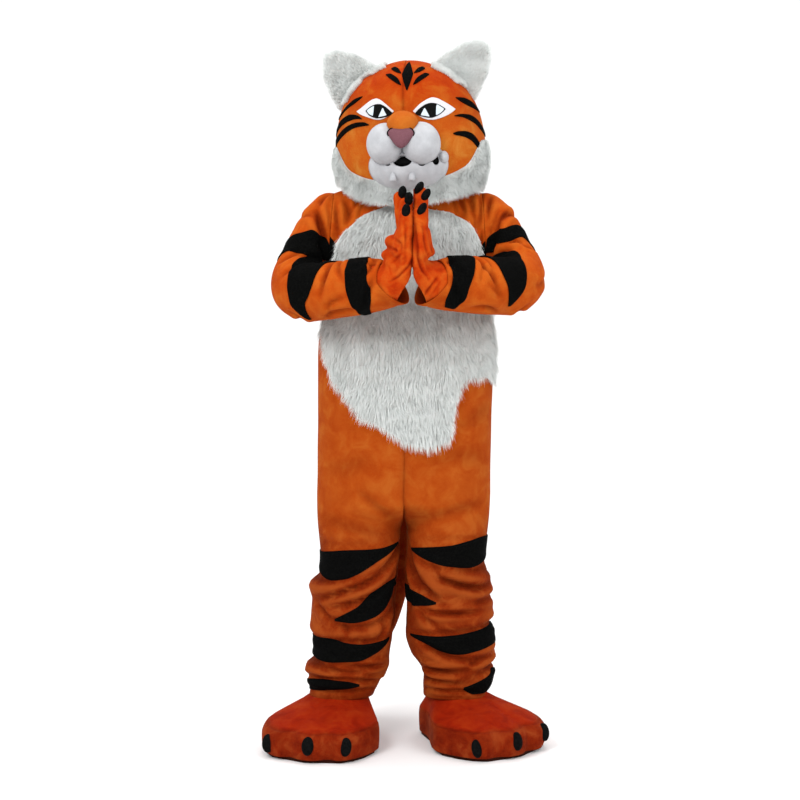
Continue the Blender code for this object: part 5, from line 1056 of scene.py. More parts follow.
FOREHEAD = (
    ((-4, 122.5, 125.5), (1.5, 102, 144), (6, 88, 156), (10.5, 78, 163), (15, 88, 156), (19.5, 102, 144),
     (25, 122.5, 125.5)),
    ((-47, 125, 127), (-36, 114, 128), (-24, 104, 121), (-13, 96.5, 111), (-5, 93, 95)),
    ((-34, 142, 144), (-26, 135, 148), (-16, 129, 143), (-6, 126, 128)),
    ((26, 93, 95), (34.5, 96.5, 111), (45, 104, 120), (56, 112, 126), (66, 121, 123)),
    ((27, 126, 128), (37, 128, 142), (47, 133, 146), (54, 139, 141)),
)


def head_point(height, angle, grow=0.0):
    half, front, back = (size + grow for size in read(HEAD, height))
    power = 2 / HEAD_ROUNDNESS
    depth = np.where(np.cos(angle) > 0, front, back)
    return np.stack(np.broadcast_arrays(half * powered(np.sin(angle), power),
                                        -depth * powered(np.cos(angle), power), height), -1)


def head_bottom(share):
    return HEAD_BOTTOM[0] + (HEAD_BOTTOM[1] - HEAD_BOTTOM[0]) * smooth(share)


def head_grid():
    """Half the head from its lower edge to the crown, and from front to back."""
    share = np.linspace(0, 1, HALF_COLUMNS + 1)[None, :]
    rise = 1 - (1 - np.linspace(0, 1, HEAD_ROWS)[:, None]) ** CROWN_EASE
    bottom, top = head_bottom(share), HEAD[-1][0]
    return head_point(bottom + (top - bottom) * rise, share * math.pi)


def head_spot(degrees, height):
    """Turns an angle from the front and a height into fractional row and column of half the head."""
    share = abs(degrees) / 180
    rise = (height - head_bottom(share)) / (HEAD[-1][0] - head_bottom(share))
    row = (1 - (1 - np.clip(rise, 0, 1)) ** (1 / CROWN_EASE)) * (HEAD_ROWS - 1)
    return float(row), share * HALF_COLUMNS


def face_spot(x, height):
    """The same for a place on the face, on the whole front: columns run from the right to the left."""
    half = read(HEAD, height)[0]
    degrees = math.degrees(math.asin(min(abs(x) / half, 1.0) ** (HEAD_ROUNDNESS / 2)))
    row, column = head_spot(degrees, height)
    return row, HALF_COLUMNS + math.copysign(column, x)


def make_head():
    halves = {}
    for side, word in SIDES:
        grid = head_grid()
        normals = grid_normals(grid)
        normals[:, 0, 0] = 0
        normals[-1] = (0.0, 0.0, 1.0)
        normals = unit(normals)
        share = np.linspace(0, 1, HALF_COLUMNS + 1)[None, :]
        seam = np.exp(-(share * 0.6 / 0.004) ** 2) + np.exp(-((1 - share) * 0.6 / 0.004) ** 2)
        depth = 0.0016 * seam + 0.0010 * mottled(grid * (side, 1, 1), 0.045, 6.0 + side)
        surface = grid - depth[..., None] * normals
        surface[:, 0, 0] = surface[:, -1, 0] = SEAM / 2
        surface[..., 0] *= side
        ways = normals * (side, 1, 1)
        inner = surface - HEAD_WALL * ways
        inner[:, 0, 0] = inner[:, -1, 0] = side * SEAM / 2
        inner[-3:, :, 2] = HEAD[-1][0] - HEAD_WALL
        points, faces = wall(head_turned(surface), head_turned(inner))
        faces = faces if side > 0 else turned_over(faces)
        # Painted shade along the head's seams and in its dents.
        half = piece(f"head_{word}_cloth", points, faces, HEAD_PLUSH, (f"head_{word}",),
                     shade_and_highlight=both_sides(creased(depth, HEAD_SHADE)))
        halves[side] = (surface, ways)
    return halves


def make_face(halves):
    front = whole_front(halves[-1], halves[1])

    def sewn(name, outline, made, nodes=(), lift=0.0004, thick=0.0016, size=(37, 15)):
        done, _ = patch(name, front, metres(outline), face_spot, made, nodes, lift, thick, size, head_turned)
        return done

    for side, word in SIDES:
        sewn(f"eye_{word}_white", EYE[side], EYE_WHITE, (f"eye_{word}",), thick=0.0022, size=(45, 17))
        sewn(f"eye_{word}_iris", IRIS[side], EYE_BLACK, lift=0.0027, thick=0.0008, size=(41, 17))
        sewn(f"eye_{word}_shine", SHINE[side], EYE_SHINE, lift=0.0036, thick=0.0006, size=(21, 13))
        sewn(f"eye_{word}_glint", GLINT[side], EYE_SHINE, lift=0.0036, thick=0.0006, size=(21, 13))
        for number, outline in enumerate(CHEEKS[side]):
            made, _ = patch(f"cheek_{word}_{number + 1}", halves[side], metres(outline, 1, 2), head_spot,
                            BLACK, size=(53, 13), world=head_turned)
    for number, outline in enumerate(FOREHEAD):
        sewn(f"forehead_{number + 1}", outline, BLACK, size=(27, 13))


def cut_form(points, faces):
    """A bare mesh to cut with, or to be cut."""
    mesh = bpy.data.meshes.new("form")
    mesh.from_pydata(np.asarray(points).reshape(-1, 3).tolist(), [], faces)
    mesh.shade_smooth()
    thing = bpy.data.objects.new("form", mesh)
    bpy.context.scene.collection.objects.link(thing)
    return thing


def ball(centre, radii, columns=56, rows=36, grow=0.0, turn=None):
    """Points and faces of an ellipsoid."""
    build = bmesh.new()
    bmesh.ops.create_uvsphere(build, u_segments=columns, v_segments=rows, radius=1.0)
    build.transform(Matrix.Diagonal(Vector((*(radius + grow for radius in radii), 1.0))))
    if turn:
        build.transform(turn.to_4x4())
    points = np.array([vertex.co for vertex in build.verts]) + np.array(centre)
    faces = [[vertex.index for vertex in face.verts] for face in build.faces]
    build.free()
    return points, faces


def loft(rings):
    """Points and faces of a closed body through rings."""
    rings = np.asarray(rings, float)
    rows, columns = rings.shape[:2]
    points = rings.reshape(-1, 3)
    faces = cells(rows, columns, ring=True)
    faces += [tuple(range(columns))[::-1], tuple(range((rows - 1) * columns, rows * columns))]
    centre = points.mean(axis=0)
    a, b, c = (points[[face[corner] for face in faces]] for corner in range(3))
    away = np.einsum("ij,ij->i", np.cross(b - a, c - a), a - centre).sum()
    return points, faces if away > 0 else turned_over(faces)


def carved(solid, *cutters):
    """The solid's points and faces after the cutters, all as points and faces, are taken away."""
    thing = cut_form(*solid)
    tools = [cut_form(*cutter) for cutter in cutters]
    for tool in tools:
        cut = thing.modifiers.new("cut", "BOOLEAN")
        cut.operation, cut.solver, cut.object = "DIFFERENCE", "EXACT", tool
    shown = thing.evaluated_get(bpy.context.evaluated_depsgraph_get())
    mesh = bpy.data.meshes.new_from_object(shown)
    points = np.array([vertex.co for vertex in mesh.vertices])
    faces = [tuple(face.vertices) for face in mesh.polygons]
    for used in (thing, *tools):
        bpy.data.objects.remove(used)
    return points, faces


def in_head(solid):
    return head_turned(solid[0]), solid[1]


def head_form():
    """The head's outside, a seam wider all round, as points and faces."""
    angle = np.linspace(0, 2 * math.pi, 96, endpoint=False)[None, :]
    rise = 1 - (1 - np.linspace(0, 1, 60)[:, None]) ** CROWN_EASE
    height = -0.25 + (HEAD[-1][0] + 0.25) * rise
    return loft(head_point(height, angle, SEAM))


def stuffed(name, solid, made, nodes=(), shade_and_highlight=None):
    """A stuffed piece, from its points and faces in the head's frame."""
    points, faces = in_head(solid)
    thing = piece(name, points, faces, made, nodes, shade_and_highlight=None if shade_and_highlight is None else np.full(len(points), shade_and_highlight))


def spokes(path, aside, sides):
    """Unit vectors off a path, as many as sides at each point; aside makes the first from its directions."""
    ways = unit(np.gradient(path, axis=0))
    across = unit(aside(ways))
    other = np.cross(ways, across)
    angle = np.linspace(0, 2 * math.pi, sides, endpoint=False)[None, :, None]
    return across[:, None] * np.cos(angle) + other[:, None] * np.sin(angle)


BLOCK_FACES = ((0, 1, 3, 2), (4, 6, 7, 5), (0, 4, 5, 1), (2, 3, 7, 6), (0, 2, 6, 4), (1, 5, 7, 3))


def make_pads(form, grown):
    for side, word in SIDES:
        beyond = np.array([(x, y, z) for x in (-side * 0.2, PADS_MEET + side * SEAM / 2)
                           for y in (-0.4, 0.0) for z in (-0.2, 0.1)])
        block = (beyond, BLOCK_FACES if side > 0 else turned_over(BLOCK_FACES))
        pad = carved(ball(*PADS[side]), form, block)
        stuffed(f"muzzle_{word}_pad", pad, WHITE, (f"muzzle_{word}",), shade_and_highlight=0.5)
    # The nose bridge pad is painted lighter all over, the same way ridges get their painted highlight.
    stuffed("nose_bridge_pad", carved(ball(*BRIDGE), form, *grown), HEAD_PLUSH, ("nose_bridge",), shade_and_highlight=0.26)


def make_nose(form, grown):
    corners = metres(NOSE_CORNERS + NOSE_CORNERS[:1])
    dense = np.linspace(0, len(NOSE_CORNERS), 60, endpoint=False)
    outline = np.stack([np.interp(dense, range(len(corners)), corners[:, axis]) for axis in (0, 1)], -1)
    for _ in range(6):
        outline = (np.roll(outline, 1, axis=0) + 2 * outline + np.roll(outline, -1, axis=0)) / 4
    x, y, z = NOSE_PLACE
    rings = [[(x + share * a, y - NOSE_DEPTH * step + NOSE_DEPTH * 0.6, z + share * b) for a, b in outline]
             for step, share in NOSE_SECTIONS]
    nose = carved(loft(rings), form, *grown, ball(*BRIDGE, grow=SEAM))
    stuffed("nose_felt", nose, NOSE, ("nose",))
    rim = outline[[*range(57, 60), *range(0, 28)]] * 1.02
    path = np.array([(x + a, y + NOSE_DEPTH * 0.08, z + b) for a, b in rim])
    piping = path[:, None] + PIPING * spokes(path, lambda ways: np.cross(ways, (0.0, 1.0, 0.0)), 10)
    stuffed("nose_piping", loft(piping), BLACK)


def make_jaw(form, grown):
    gaps = [ball(*gap) for gap in MOUTH_GAPS]
    stuffed("jaw_pad", carved(ball(*JAW), form, *grown, *gaps), WHITE, ("jaw",), shade_and_highlight=0.5)
    stuffed("jaw_corner_pad", carved(ball(*JAW_LOBE), form, ball(*JAW, grow=SEAM), *grown), WHITE, shade_and_highlight=0.5)
    radius, height = TOOTH_SIZE
    rings = [[(math.cos(a) * radius * share, math.sin(a) * radius * share, height * (at - 0.5))
              for a in np.linspace(0, 2 * math.pi, 20, endpoint=False)] for at, share in TOOTH_SECTIONS]
    for side, word in SIDES:
        at = np.array(TOOTH_PLACE) + (side * TOOTH_SPREAD, 0.0, 0.0)
        tooth = carved(loft(np.array(rings) + at), ball(*JAW, grow=SEAM))
        stuffed(f"tooth_{word}_pad", tooth, WHITE, (f"tooth_{word}",))


def make_muzzle():
    form = head_form()
    grown = [ball(*PADS[side], grow=SEAM) for side, _ in SIDES]
    make_pads(form, grown)
    make_nose(form, grown)
    make_jaw(form, grown)
    stuffed("mouth_lining", ball(*MOUTH, 40, 16), MESH)
    low, high, span = MESH_SPAN
    share = np.linspace(0, 1, 25)[None, :]
    lining = head_point(np.linspace(low, high, 11)[:, None], np.radians((share - 0.5) * span), -0.003)
    points, faces = wall(head_turned(lining), head_turned(lining + (0.0, 0.0015, 0.0)))
    faces = facing_out(points, faces, head_turned(np.zeros(3)))
    mesh = piece("mouth_mesh_cloth", points, faces, MESH, ("mouth_mesh",))


# How much narrower than the CAD the ears are below their fur, and how far they are moved.
EAR_LOOK = {1: (0.90, (-0.0035, -0.032, 0.0)), -1: (0.95, (0.001, -0.032, -0.010))}
# The lower edge of an ear's fur on the head: distance from the middle, height. Then how far that fur goes
# on the head before and behind, how far above the edge it starts, and how ragged it is.
EAR_ROOTS = {
    1: ((66, 126), (69.3, 119.7), (102.4, 103.5), (137.8, 91.9), (170.5, 68.5), (180, 42)),
    -1: ((50, 140), (53.3, 135.1), (81.4, 127.7), (111.5, 119), (127.6, 80), (150, 62), (174, 52)),
}
EAR_FUR_REACH, EAR_ROOTS_UP, RAGGED = (-0.074, -0.008), 0.008, 0.003
HEAD_EGG = (0.17, 0.16, 0.17)  # radii within which an ear's hairs would start inside the head
# How much shorter the ruff's backing is than the CAD's ruff, and the shares of its thickness and flare.
RUFF_SHORTER, RUFF_SWELL, RUFF_FLARE = 0.012, 0.22, 0.3


def ear_rings(side):
    """The rings of an ear in the head's frame, from its root to its tip."""
    base, tip = np.array(EAR_BASE), np.array(EAR_TIP)
    along = unit(tip - base)
    across = np.array((along[1], -along[0]))
    share = np.linspace(EAR_SHAPE[0][0], 1.0, 44)[:, None]
    wide, thick, cup = read(metres(EAR_SHAPE, 2, 3), share)
    angle = np.linspace(0, 2 * math.pi, 64, endpoint=False)[None, :]
    out = (EAR_HALF_WIDTH * wide * np.cos(angle))[..., None]
    flat = base + (tip - base) * share[..., None] + across * out
    deep = EAR_Y + thick / 2 * np.sin(angle) + cup * (1 - np.cos(angle) ** 2)
    rings = np.stack([side * flat[..., 0], deep, flat[..., 1]], -1)
    middle = rings.mean(axis=1, keepdims=True)
    narrower, moved = EAR_LOOK[side]
    return middle + (rings - middle) * narrower + moved


def ear_root_hairs(side, half):
    """Roots and directions of the hairs round the ear's root, on one half of the head."""
    head, facing = (part[HEAD_ROWS // 4:] for part in half)
    roots, out, _, _ = strewn(head, facing, EAR_ROOT_HAIRS)
    edge = metres(EAR_ROOTS[side])
    ragged = RAGGED * mottled(roots, 0.011, 9.0)
    aside = np.abs(roots[:, 0])
    kept = roots[:, 2] > np.interp(aside, *edge.T) + EAR_ROOTS_UP + ragged
    kept &= aside > edge[0, 0] + ragged
    kept &= (roots[:, 1] > EAR_FUR_REACH[0] + ragged) & (roots[:, 1] < EAR_FUR_REACH[1] - ragged)
    parting = np.sign(roots[:, 1:2] + 0.02) * (0.0, 0.8, 0.0)
    out = unit(0.45 * out + parting - (0.0, 0.0, 0.25))
    return head_turned(roots[kept]), head_turned(out[kept]) - head_turned(np.zeros(3))


def make_ears(halves):
    form = head_form()
    along = unit(np.array(EAR_TIP) - np.array(EAR_BASE))
    for side, word in SIDES:
        rings = ear_rings(side)
        backing = piece(f"ear_{word}_pad", *in_head(carved(loft(rings), form)), BACKING, (f"ear_{word}",))
        grid = head_turned(rings)
        ways = grid_normals(grid, ring=True)
        ways *= np.sign(np.mean(np.sum(ways * (grid - grid.mean(axis=1, keepdims=True)), axis=-1)))
        roots, out, rows, _ = strewn(grid, ways, EAR_HAIRS, ring=True)
        outside = np.linalg.norm((roots - head_turned(np.zeros(3))) / HEAD_EGG, axis=1) > 0.99
        low_roots, low_out = ear_root_hairs(side, halves[side])
        roots = np.concatenate([roots[outside], low_roots])
        out = np.concatenate([out[outside], low_out])
        rows = np.concatenate([rows[outside], np.zeros(len(low_roots))])
        up = unit(np.array((side * along[0], 0.0, along[1])) + 0.3 * (DICE.random((len(roots), 3)) - 0.5))
        combs = unit(up - 0.6 * np.sum(up * out, axis=1)[:, None] * out)
        fur(f"ear_{word}_fur", roots, out, combs, 0.013 + 0.004 * rows, EAR_HAIR)


def make_ruff():
    """The fur band round the head's lower edge, in two halves."""
    for side, word in SIDES:
        degrees = np.linspace(0, 180, 101)[None, :]
        angle = np.radians(degrees)
        top, bottom = read(metres(RUFF, 1, 2), degrees)
        bottom = bottom - RUFF_LOOK[side] * np.sin(angle) ** 6 + RUFF_SHORTER
        share = np.linspace(0, 1, 27)[:, None]
        thick, flare = read(metres(RUFF_WALL, 1, 2), share)
        flare = flare * RUFF_FLARE
        outer = head_point(top + (bottom - top) * share, angle, flare + thick * RUFF_SWELL)
        inner = head_point(top + (bottom - top) * share, angle, flare + 0.001)
        for grid in (outer, inner):
            grid[:, 0, 0] = grid[:, -1, 0] = SEAM / 2
            grid[..., 0] *= side
        outer, inner = head_turned(outer), head_turned(inner)
        points, faces = wall(outer, inner)
        faces = facing_out(points, faces, head_turned(np.array((0.0, 0.0, -0.2))))
        backing = piece(f"ruff_{word}_backing", points, faces, BACKING, (f"ruff_{word}",))
        ways = grid_normals(outer)
        ways *= np.sign(np.mean(np.sum(ways * (outer - head_turned(np.zeros(3))), axis=-1)))
        roots, out, rows, _ = strewn(outer, ways, RUFF_HAIRS)
        down = unit(np.array((0.0, 0.0, -1.0)) + 0.5 * out * (1, 1, 0))
        pile = fur(f"ruff_{word}_fur", roots, out * 0.8, down, 0.013 + 0.007 * rows, RUFF_HAIR)


# ---------------------------------------------------------------- gloves

# Rolls of cloth at the wrists: distance from the palms' plane, y, height, radii.
WRIST_ROLLS = {-1: ((0.0495, -0.300, 1.3530, (0.0205, 0.034, 0.0180)),
                    (0.0520, -0.300, 1.3200, (0.0270, 0.036, 0.0165)),
                    (0.044, -0.306, 1.3000, (0.0300, 0.040, 0.0200))),
               1: ((0.036, -0.318, 1.3520, (0.0120, 0.024, 0.0120)),
                   (0.044, -0.312, 1.3280, (0.0130, 0.026, 0.0140)))}
# How far the heels of the hands stand apart from their plane: height, distance.
HEEL_GAP = (
    (1180, 40), (1205, 36), (1227, 26), (1256.7, 7.5), (1280, 0), (1500, 0),
)
# Creases of the gloves' front: x and height of each place along them, then half width and depth.
GLOVE_CREASES = {
    -1: ((12.5, 1405, 13.5, 1365.4, 10.5, 1293.4, 3.2, 3.4),
         (-25.1, 1254.6, -5.6, 1265.7, 19.5, 1290.7, 29, 1310.1, 3.6, 4.2),
         (-19, 1364, 4, 1348, 4, 1324, -19, 1300, 3.4, 3), (-27, 1340, -12, 1333, -4, 1326, 3.2, 3.4)),
    1: ((38.9, 1409.7, 40.3, 1365.4, 44.5, 1321.1, 55.7, 1282.3, 78, 1251.8, 3.4, 4),
        (55.5, 1398.6, 59.7, 1365.4, 63.9, 1337.8, 72.3, 1312.8, 3, 2.8),
        (58.5, 1215.7, 78, 1243.5, 94.6, 1265.7, 3.6, 3.8), (78, 1352, 80, 1330, 86, 1312, 3, 2.6)),
}
# How far each claw stands out sideways off its finger; then how far the claws lean out, and their radii.
CLAW_OUT = {("index", 1): -0.0045, ("middle", 1): 0.009, ("little", 1): 0.003,
            ("index", -1): -0.0080, ("middle", -1): -0.0070, ("little", -1): -0.0010}
CLAW_LEAN, CLAW_RADII = {1: 0.60, -1: -0.10}, (0.0112, 0.0100, 0.0182)
VOXEL, SMOOTHINGS = 0.0032, 7  # of a glove's skin
GLOVE_START = 0.050  # how far below the wrist a glove starts
HEELS_BELOW = 1.292  # the height below which the heels of the hands stand apart


def glove_rings(side, wrist, fore):
    radius = WRIST_RADIUS
    up = Vector((0.0, 0.0, 1.0))
    rise = (up - fore * fore.dot(up)).normalized()
    axis = fore.cross(rise).normalized()
    pivot = wrist + rise * (WRIST_RADIUS + WRIST_CREASE)
    angle = np.linspace(0, 2 * math.pi, 48, endpoint=False)[:, None]

    def spokes_of(power):
        return np.array(axis) * powered(np.cos(angle), power) + np.array(rise) * powered(np.sin(angle), power)

    spokes = spokes_of(1.0)
    rings = [np.array(wrist - fore * back) + spokes * radius for back in (0.055, 0.045, 0.030, 0.012)]
    bend, plane = fore.angle(up), side * PALM_X
    for step in range(13):
        turned = Matrix.Rotation(bend * step / 12, 3, axis)
        centre = np.array(pivot + turned @ (wrist - pivot))
        off = spokes_of(1.0 - 0.32 * step / 12) @ np.array(turned).T * radius
        off[:, 0] *= 1 - smooth(step / 12) * (1 - PALM_HALF[0] / radius)
        rings.append(centre + off)
    turned = Matrix.Rotation(bend, 3, axis)
    ways = spokes_of(0.68) @ np.array(turned).T
    centre_y = (pivot + turned @ (wrist - pivot)).y
    for height in np.linspace(PALM_RINGS[0][0], PALM_RINGS[-1][0], 12):
        thick, wide = read(PALM_RINGS, height)
        rings.append(np.array((plane + PALM_HALF[0] + 0.001, centre_y, height))
                     + ways * (PALM_HALF[0] * thick, PALM_HALF[1] * wide, 0.0))
    rings = np.array(rings)
    rings[..., 0] = np.maximum(rings[..., 0], plane + 0.0008)
    rings[..., 0] *= side
    return rings


def finger_ends(side):
    """Name, root and tip of each finger of one hand."""
    for finger, finger_side, root_y, root_z, tip_x, tip_y, tip_z in FINGERS:
        if finger_side == side:
            root = Vector(swayed((PALM_X + side * (PALM_HALF[0] + 0.001), root_y, root_z)))
            tip = Vector(swayed((PALM_X + side * tip_x, tip_y, tip_z - FINGER_RADIUS)))
            yield finger, root, tip


def hand_solids(side, wrist, fore):
    """Points and faces of the solids that make up a hand: its palm, its fingers and rolls at the wrist."""
    yield loft(swayed(glove_rings(side, wrist, fore)))
    for _, root, tip in finger_ends(side):
        turn = (tip - root).to_track_quat("Z", "Y").to_matrix()
        points, faces = ball((0, 0, 0), (FINGER_RADIUS,) * 3, 24, 16)
        points[points[:, 2] > FINGER_RADIUS * 0.1, 2] += (tip - root).length
        yield points @ np.array(turn).T + np.array(root), faces
    for off, *place, radii in WRIST_ROLLS[side]:
        yield ball(swayed((PALM_X + side * off, *place)), radii, 24, 16)


def hand_mesh(side, wrist, fore):
    """The hand's solids melted into one smooth skin, open at its lower end."""
    points, faces = [], []
    for solid_points, solid_faces in hand_solids(side, wrist, fore):
        start = len(points)
        points += list(solid_points)
        faces += [tuple(start + index for index in face) for face in solid_faces]
    hand = cut_form(points, faces)
    mesh_again = hand.modifiers.new("remesh", "REMESH")
    mesh_again.mode, mesh_again.voxel_size = "VOXEL", VOXEL
    soften = hand.modifiers.new("soften", "SMOOTH")
    soften.factor, soften.iterations = 0.5, SMOOTHINGS
    shown = hand.evaluated_get(bpy.context.evaluated_depsgraph_get())
    mesh = bpy.data.meshes.new_from_object(shown)
    bpy.data.objects.remove(hand)
    build = bmesh.new()
    build.from_mesh(mesh)
    mirrored = Vector((side * wrist.x, wrist.y, wrist.z))
    forward = Vector((side * fore.x, fore.y, fore.z))
    cut_at = Vector(swayed(mirrored - forward * GLOVE_START))
    bmesh.ops.bisect_plane(build, geom=build.verts[:] + build.edges[:] + build.faces[:], plane_co=cut_at,
                           plane_no=forward, clear_inner=True)
    build.to_mesh(mesh)
    build.free()
    return mesh


def glove_dents(side, outer, normals):
    """How far slack and creases pull each point of a glove in."""
    dents = 0.0009 * mottled(outer, 0.016, 3.0 + side) + 0.0007 * mottled(outer, 0.008, 5.0)
    front = smooth((-normals[:, 1] - 0.1) / 0.4)
    for *path, half_width, deep in GLOVE_CREASES[side]:
        line = np.array(path).reshape(-1, 2) / 1000
        at = np.linspace(0, len(line) - 1, 60)
        line = np.stack([np.interp(at, range(len(line)), line[:, axis]) for axis in (0, 1)], -1)
        off = np.linalg.norm(outer[:, None, ::2] - (line + (0.0, FLOOR)), axis=-1)
        ends = np.sin(math.pi * np.clip(off.argmin(axis=1) / 59, 0.03, 0.97)) ** 0.5
        off = off.min(axis=1) / (half_width / 1000)
        ridge = 0.35 * np.exp(-(off - 2.2) ** 2)
        dents += deep / 1000 * front * ends * (np.exp(-off ** 1.6) - ridge)
    return dents


def palms_off(side, outer):
    """The plane in which the palms touch, and how far off it each point goes: the palms are pressed flat, and
    their heels stand apart."""
    plane = PALM_X + SWAY * (outer[:, 2] - FLOOR)
    off = side * (outer[:, 0] - plane)
    heel = read(metres(HEEL_GAP), outer[:, 2] - FLOOR)[0]
    close = np.maximum(off - 0.0065 * np.exp(-(off / 0.012) ** 2), 0.0002)
    apart = heel + 0.003 * np.log1p(np.exp(np.clip((off - heel) / 0.003, -20, 20)))
    apart = np.where(off - heel > 0.05, off, apart)
    share = smooth((HEELS_BELOW - outer[:, 2] + FLOOR) / 0.012)
    return plane, close * (1 - share) + apart * share


def skin_walled(outer, inner, faces):
    """Points and faces of the closed wall between the outer and the inner points of an open skin."""
    count = len(outer)
    borders = dict.fromkeys(pair for face in faces for pair in zip(face, face[1:] + face[:1]))
    edges = [(a, b) for a, b in borders if (b, a) not in borders]
    faces = faces + [tuple(index + count for index in face[::-1]) for face in faces]
    faces += [(b, a, a + count, b + count) for a, b in edges]
    return np.concatenate([outer, inner]), faces


def make_gloves():
    for side, word in SIDES:
        _, wrist, fore = sleeve_surface(side)
        mesh = hand_mesh(side, wrist, fore)
        outer = np.array([vertex.co for vertex in mesh.vertices])
        normals = np.array([vertex.normal for vertex in mesh.vertices])
        dents = glove_dents(side, outer, normals)
        outer = outer - dents[:, None] * normals
        plane, off = palms_off(side, outer)
        outer[:, 0] = plane + side * off
        faces = [tuple(face.vertices) for face in mesh.polygons]
        points, faces = skin_walled(outer, outer - 0.0022 * normals, faces)
        # Painted shade in the gloves' creases and along the line where the palms press together, and a
        # painted highlight on the creases' ridges.
        shade_and_highlight = np.clip(0.5 + dents / GLOVE_SHADE + 0.5 * np.exp(-(off / 0.004) ** 2), 0, 1)
        glove = piece(f"glove_{word}_cloth", points, faces, GLOVE, (f"glove_{word}",),
                      shade_and_highlight=np.concatenate([shade_and_highlight, shade_and_highlight]))
        for finger, root, tip in finger_ends(side):
            if finger == "thumb":
                continue
            lean = Vector((side * CLAW_LEAN[side], -0.25, 1.0)).normalized()
            way = (tip - root).normalized()
            centre = tip + way * 0.007 + Vector((side * CLAW_OUT[finger, side], -0.012, 0.005))
            claw = ball(centre, CLAW_RADII, 28, 20, turn=lean.to_track_quat("Z", "Y").to_matrix())
            made = piece(f"claw_{word}_{finger}_vinyl", *claw, CLAW, (f"claw_{word}_{finger}",))


# ---------------------------------------------------------------- feet, tail and zip

FOOT_COLUMNS, FOOT_ROWS = 160, 65
FOOT_WALL, FOOT_SEAM = 0.003, 0.076  # thickness, and the height of the seam round the toes
# How far the toes sit off the foot's middle, and the x and height of their claws from the inner toe on.
TOE_SHIFT = {1: -0.024, -1: 0.014}
TOE_CLAWS = {1: ((-0.126, 0.038), (-0.025, 0.049), (0.088, 0.050)),
             -1: ((0.112, 0.046), (0.019, 0.049), (-0.101, 0.040))}
TOE_CLAW_RADII = (0.0166, 0.0125, 0.0245)
# The zip's teeth: lowest, highest and pitch, the gap behind the slider (its middle and half of it), and half
# of a tooth's width, height and depth.
ZIP_TEETH, SLIDER_GAP, TOOTH_HALF = (0.868, 1.494, 0.0032), (1.425, 0.011), (0.0020, 0.0011, 0.0011)


def foot_outline(angle, shift=0.0):
    y = FOOT_MIDDLE - FOOT_HALF_LENGTH * powered(np.cos(angle), 0.82)
    half = FOOT_HEEL_HALF + (FOOT_TOE_HALF - FOOT_HEEL_HALF) * smooth((0.035 - y) / 0.16)
    x = half * powered(np.sin(angle), 0.72)
    front = smooth((-0.14 - y) / 0.09)
    toes = np.clip(x - shift, -TOE_PITCH, TOE_PITCH)
    dent = 1.6 * TOE_DENT * front * (0.5 - 0.5 * np.cos(2 * math.pi * toes / TOE_PITCH)) ** 2
    return np.stack([x, y + dent], -1)


def make_feet():
    for side, word in SIDES:
        x, y, turn = FOOT_PLACES[side]
        spin = Matrix.Rotation(math.radians(turn), 3, "Z")
        ankle_x, ankle_y = ANKLE_PLACES[side]
        aside = Matrix.Rotation(-math.radians(turn), 2) @ Vector((ankle_x - x, ankle_y))
        profile = np.array([(step, *row) for step, row in enumerate(FOOT_PROFILE)])
        steps = np.linspace(0, len(FOOT_PROFILE) - 1, FOOT_ROWS)
        height, share = (column[:, None] for column in read(profile, steps))
        angle = np.linspace(0, 2 * math.pi, FOOT_COLUMNS, endpoint=False)[None, :]
        out = foot_outline(angle, TOE_SHIFT[side])
        ankle = np.stack([aside.x + ANKLE_HALF[0] * np.sin(angle),
                          aside.y - ANKLE_HALF[1] * np.cos(angle)], -1)
        grid = np.concatenate([ankle + (out - ankle) * share[..., None],
                               np.broadcast_to(height, (FOOT_ROWS, FOOT_COLUMNS))[..., None]], axis=-1)
        normals = grid_normals(grid, ring=True)
        if normals[12, 0, 1] > 0:
            normals = -normals
        seam = np.exp(-((height - FOOT_SEAM) / 0.0022) ** 2) * smooth((0.06 - grid[..., 1]) / 0.05)
        slack = mottled(grid * (side, 1, 1), 0.038, 2.0 * side)
        depth = 0.0020 * seam + 0.0012 * slack
        grid = grid - depth[..., None] * normals

        def placed(points):
            return np.asarray(points) @ np.array(spin).T + np.array((x, y, FLOOR))

        outer, inner = placed(grid), placed(grid - FOOT_WALL * normals)
        points, faces = wall(outer, inner, ring=True)
        faces = facing_out(points, faces, placed(np.array((0.0, -0.09, 0.05))))
        # Painted shade along the toe seam and in the foot's dents.
        foot = piece(f"foot_{word}_cloth", points, faces, FOOT, (f"foot_{word}",),
                     shade_and_highlight=both_sides(creased(depth, FOOT_SHADE)))
        rim = foot_outline(np.linspace(-1.2, 1.2, 241))
        for toe, (across, up) in zip(("inner", "middle", "outer"), TOE_CLAWS[side]):
            at = (across, float(np.interp(across, rim[:, 0], rim[:, 1])) + 0.002, up)
            lean = Matrix.Rotation(-across * 1.6, 3, "Z") @ Matrix.Rotation(math.radians(-12), 3, "X")
            points, faces = ball(at, TOE_CLAW_RADII, 28, 20, turn=lean)
            name = f"claw_{word}_{toe}_toe"
            made = piece(f"{name}_vinyl", placed(points), faces, CLAW, (name,))


def make_tail():
    table = np.array([(step, *row) for step, row in enumerate(metres(TAIL))])
    steps = np.linspace(0, len(TAIL) - 1, 130)
    x, y, z, radius = read(table, steps)
    path = np.stack([x, y, z], -1)
    off = spokes(path, lambda ways: np.array((1.0, 0.0, 0.0)) - ways[:, :1] * ways, 40)
    rings = path[:, None] + radius[:, None, None] * off
    rings = rings - 0.0010 * mottled(rings, 0.03, 1.5)[..., None] * off
    points, faces = loft(swayed(rings))
    # The tail gets a little painted shade all over.
    tail = piece("tail_cloth", points, faces, ORANGE, ("tail",), shade_and_highlight=np.full(len(points), 0.55))


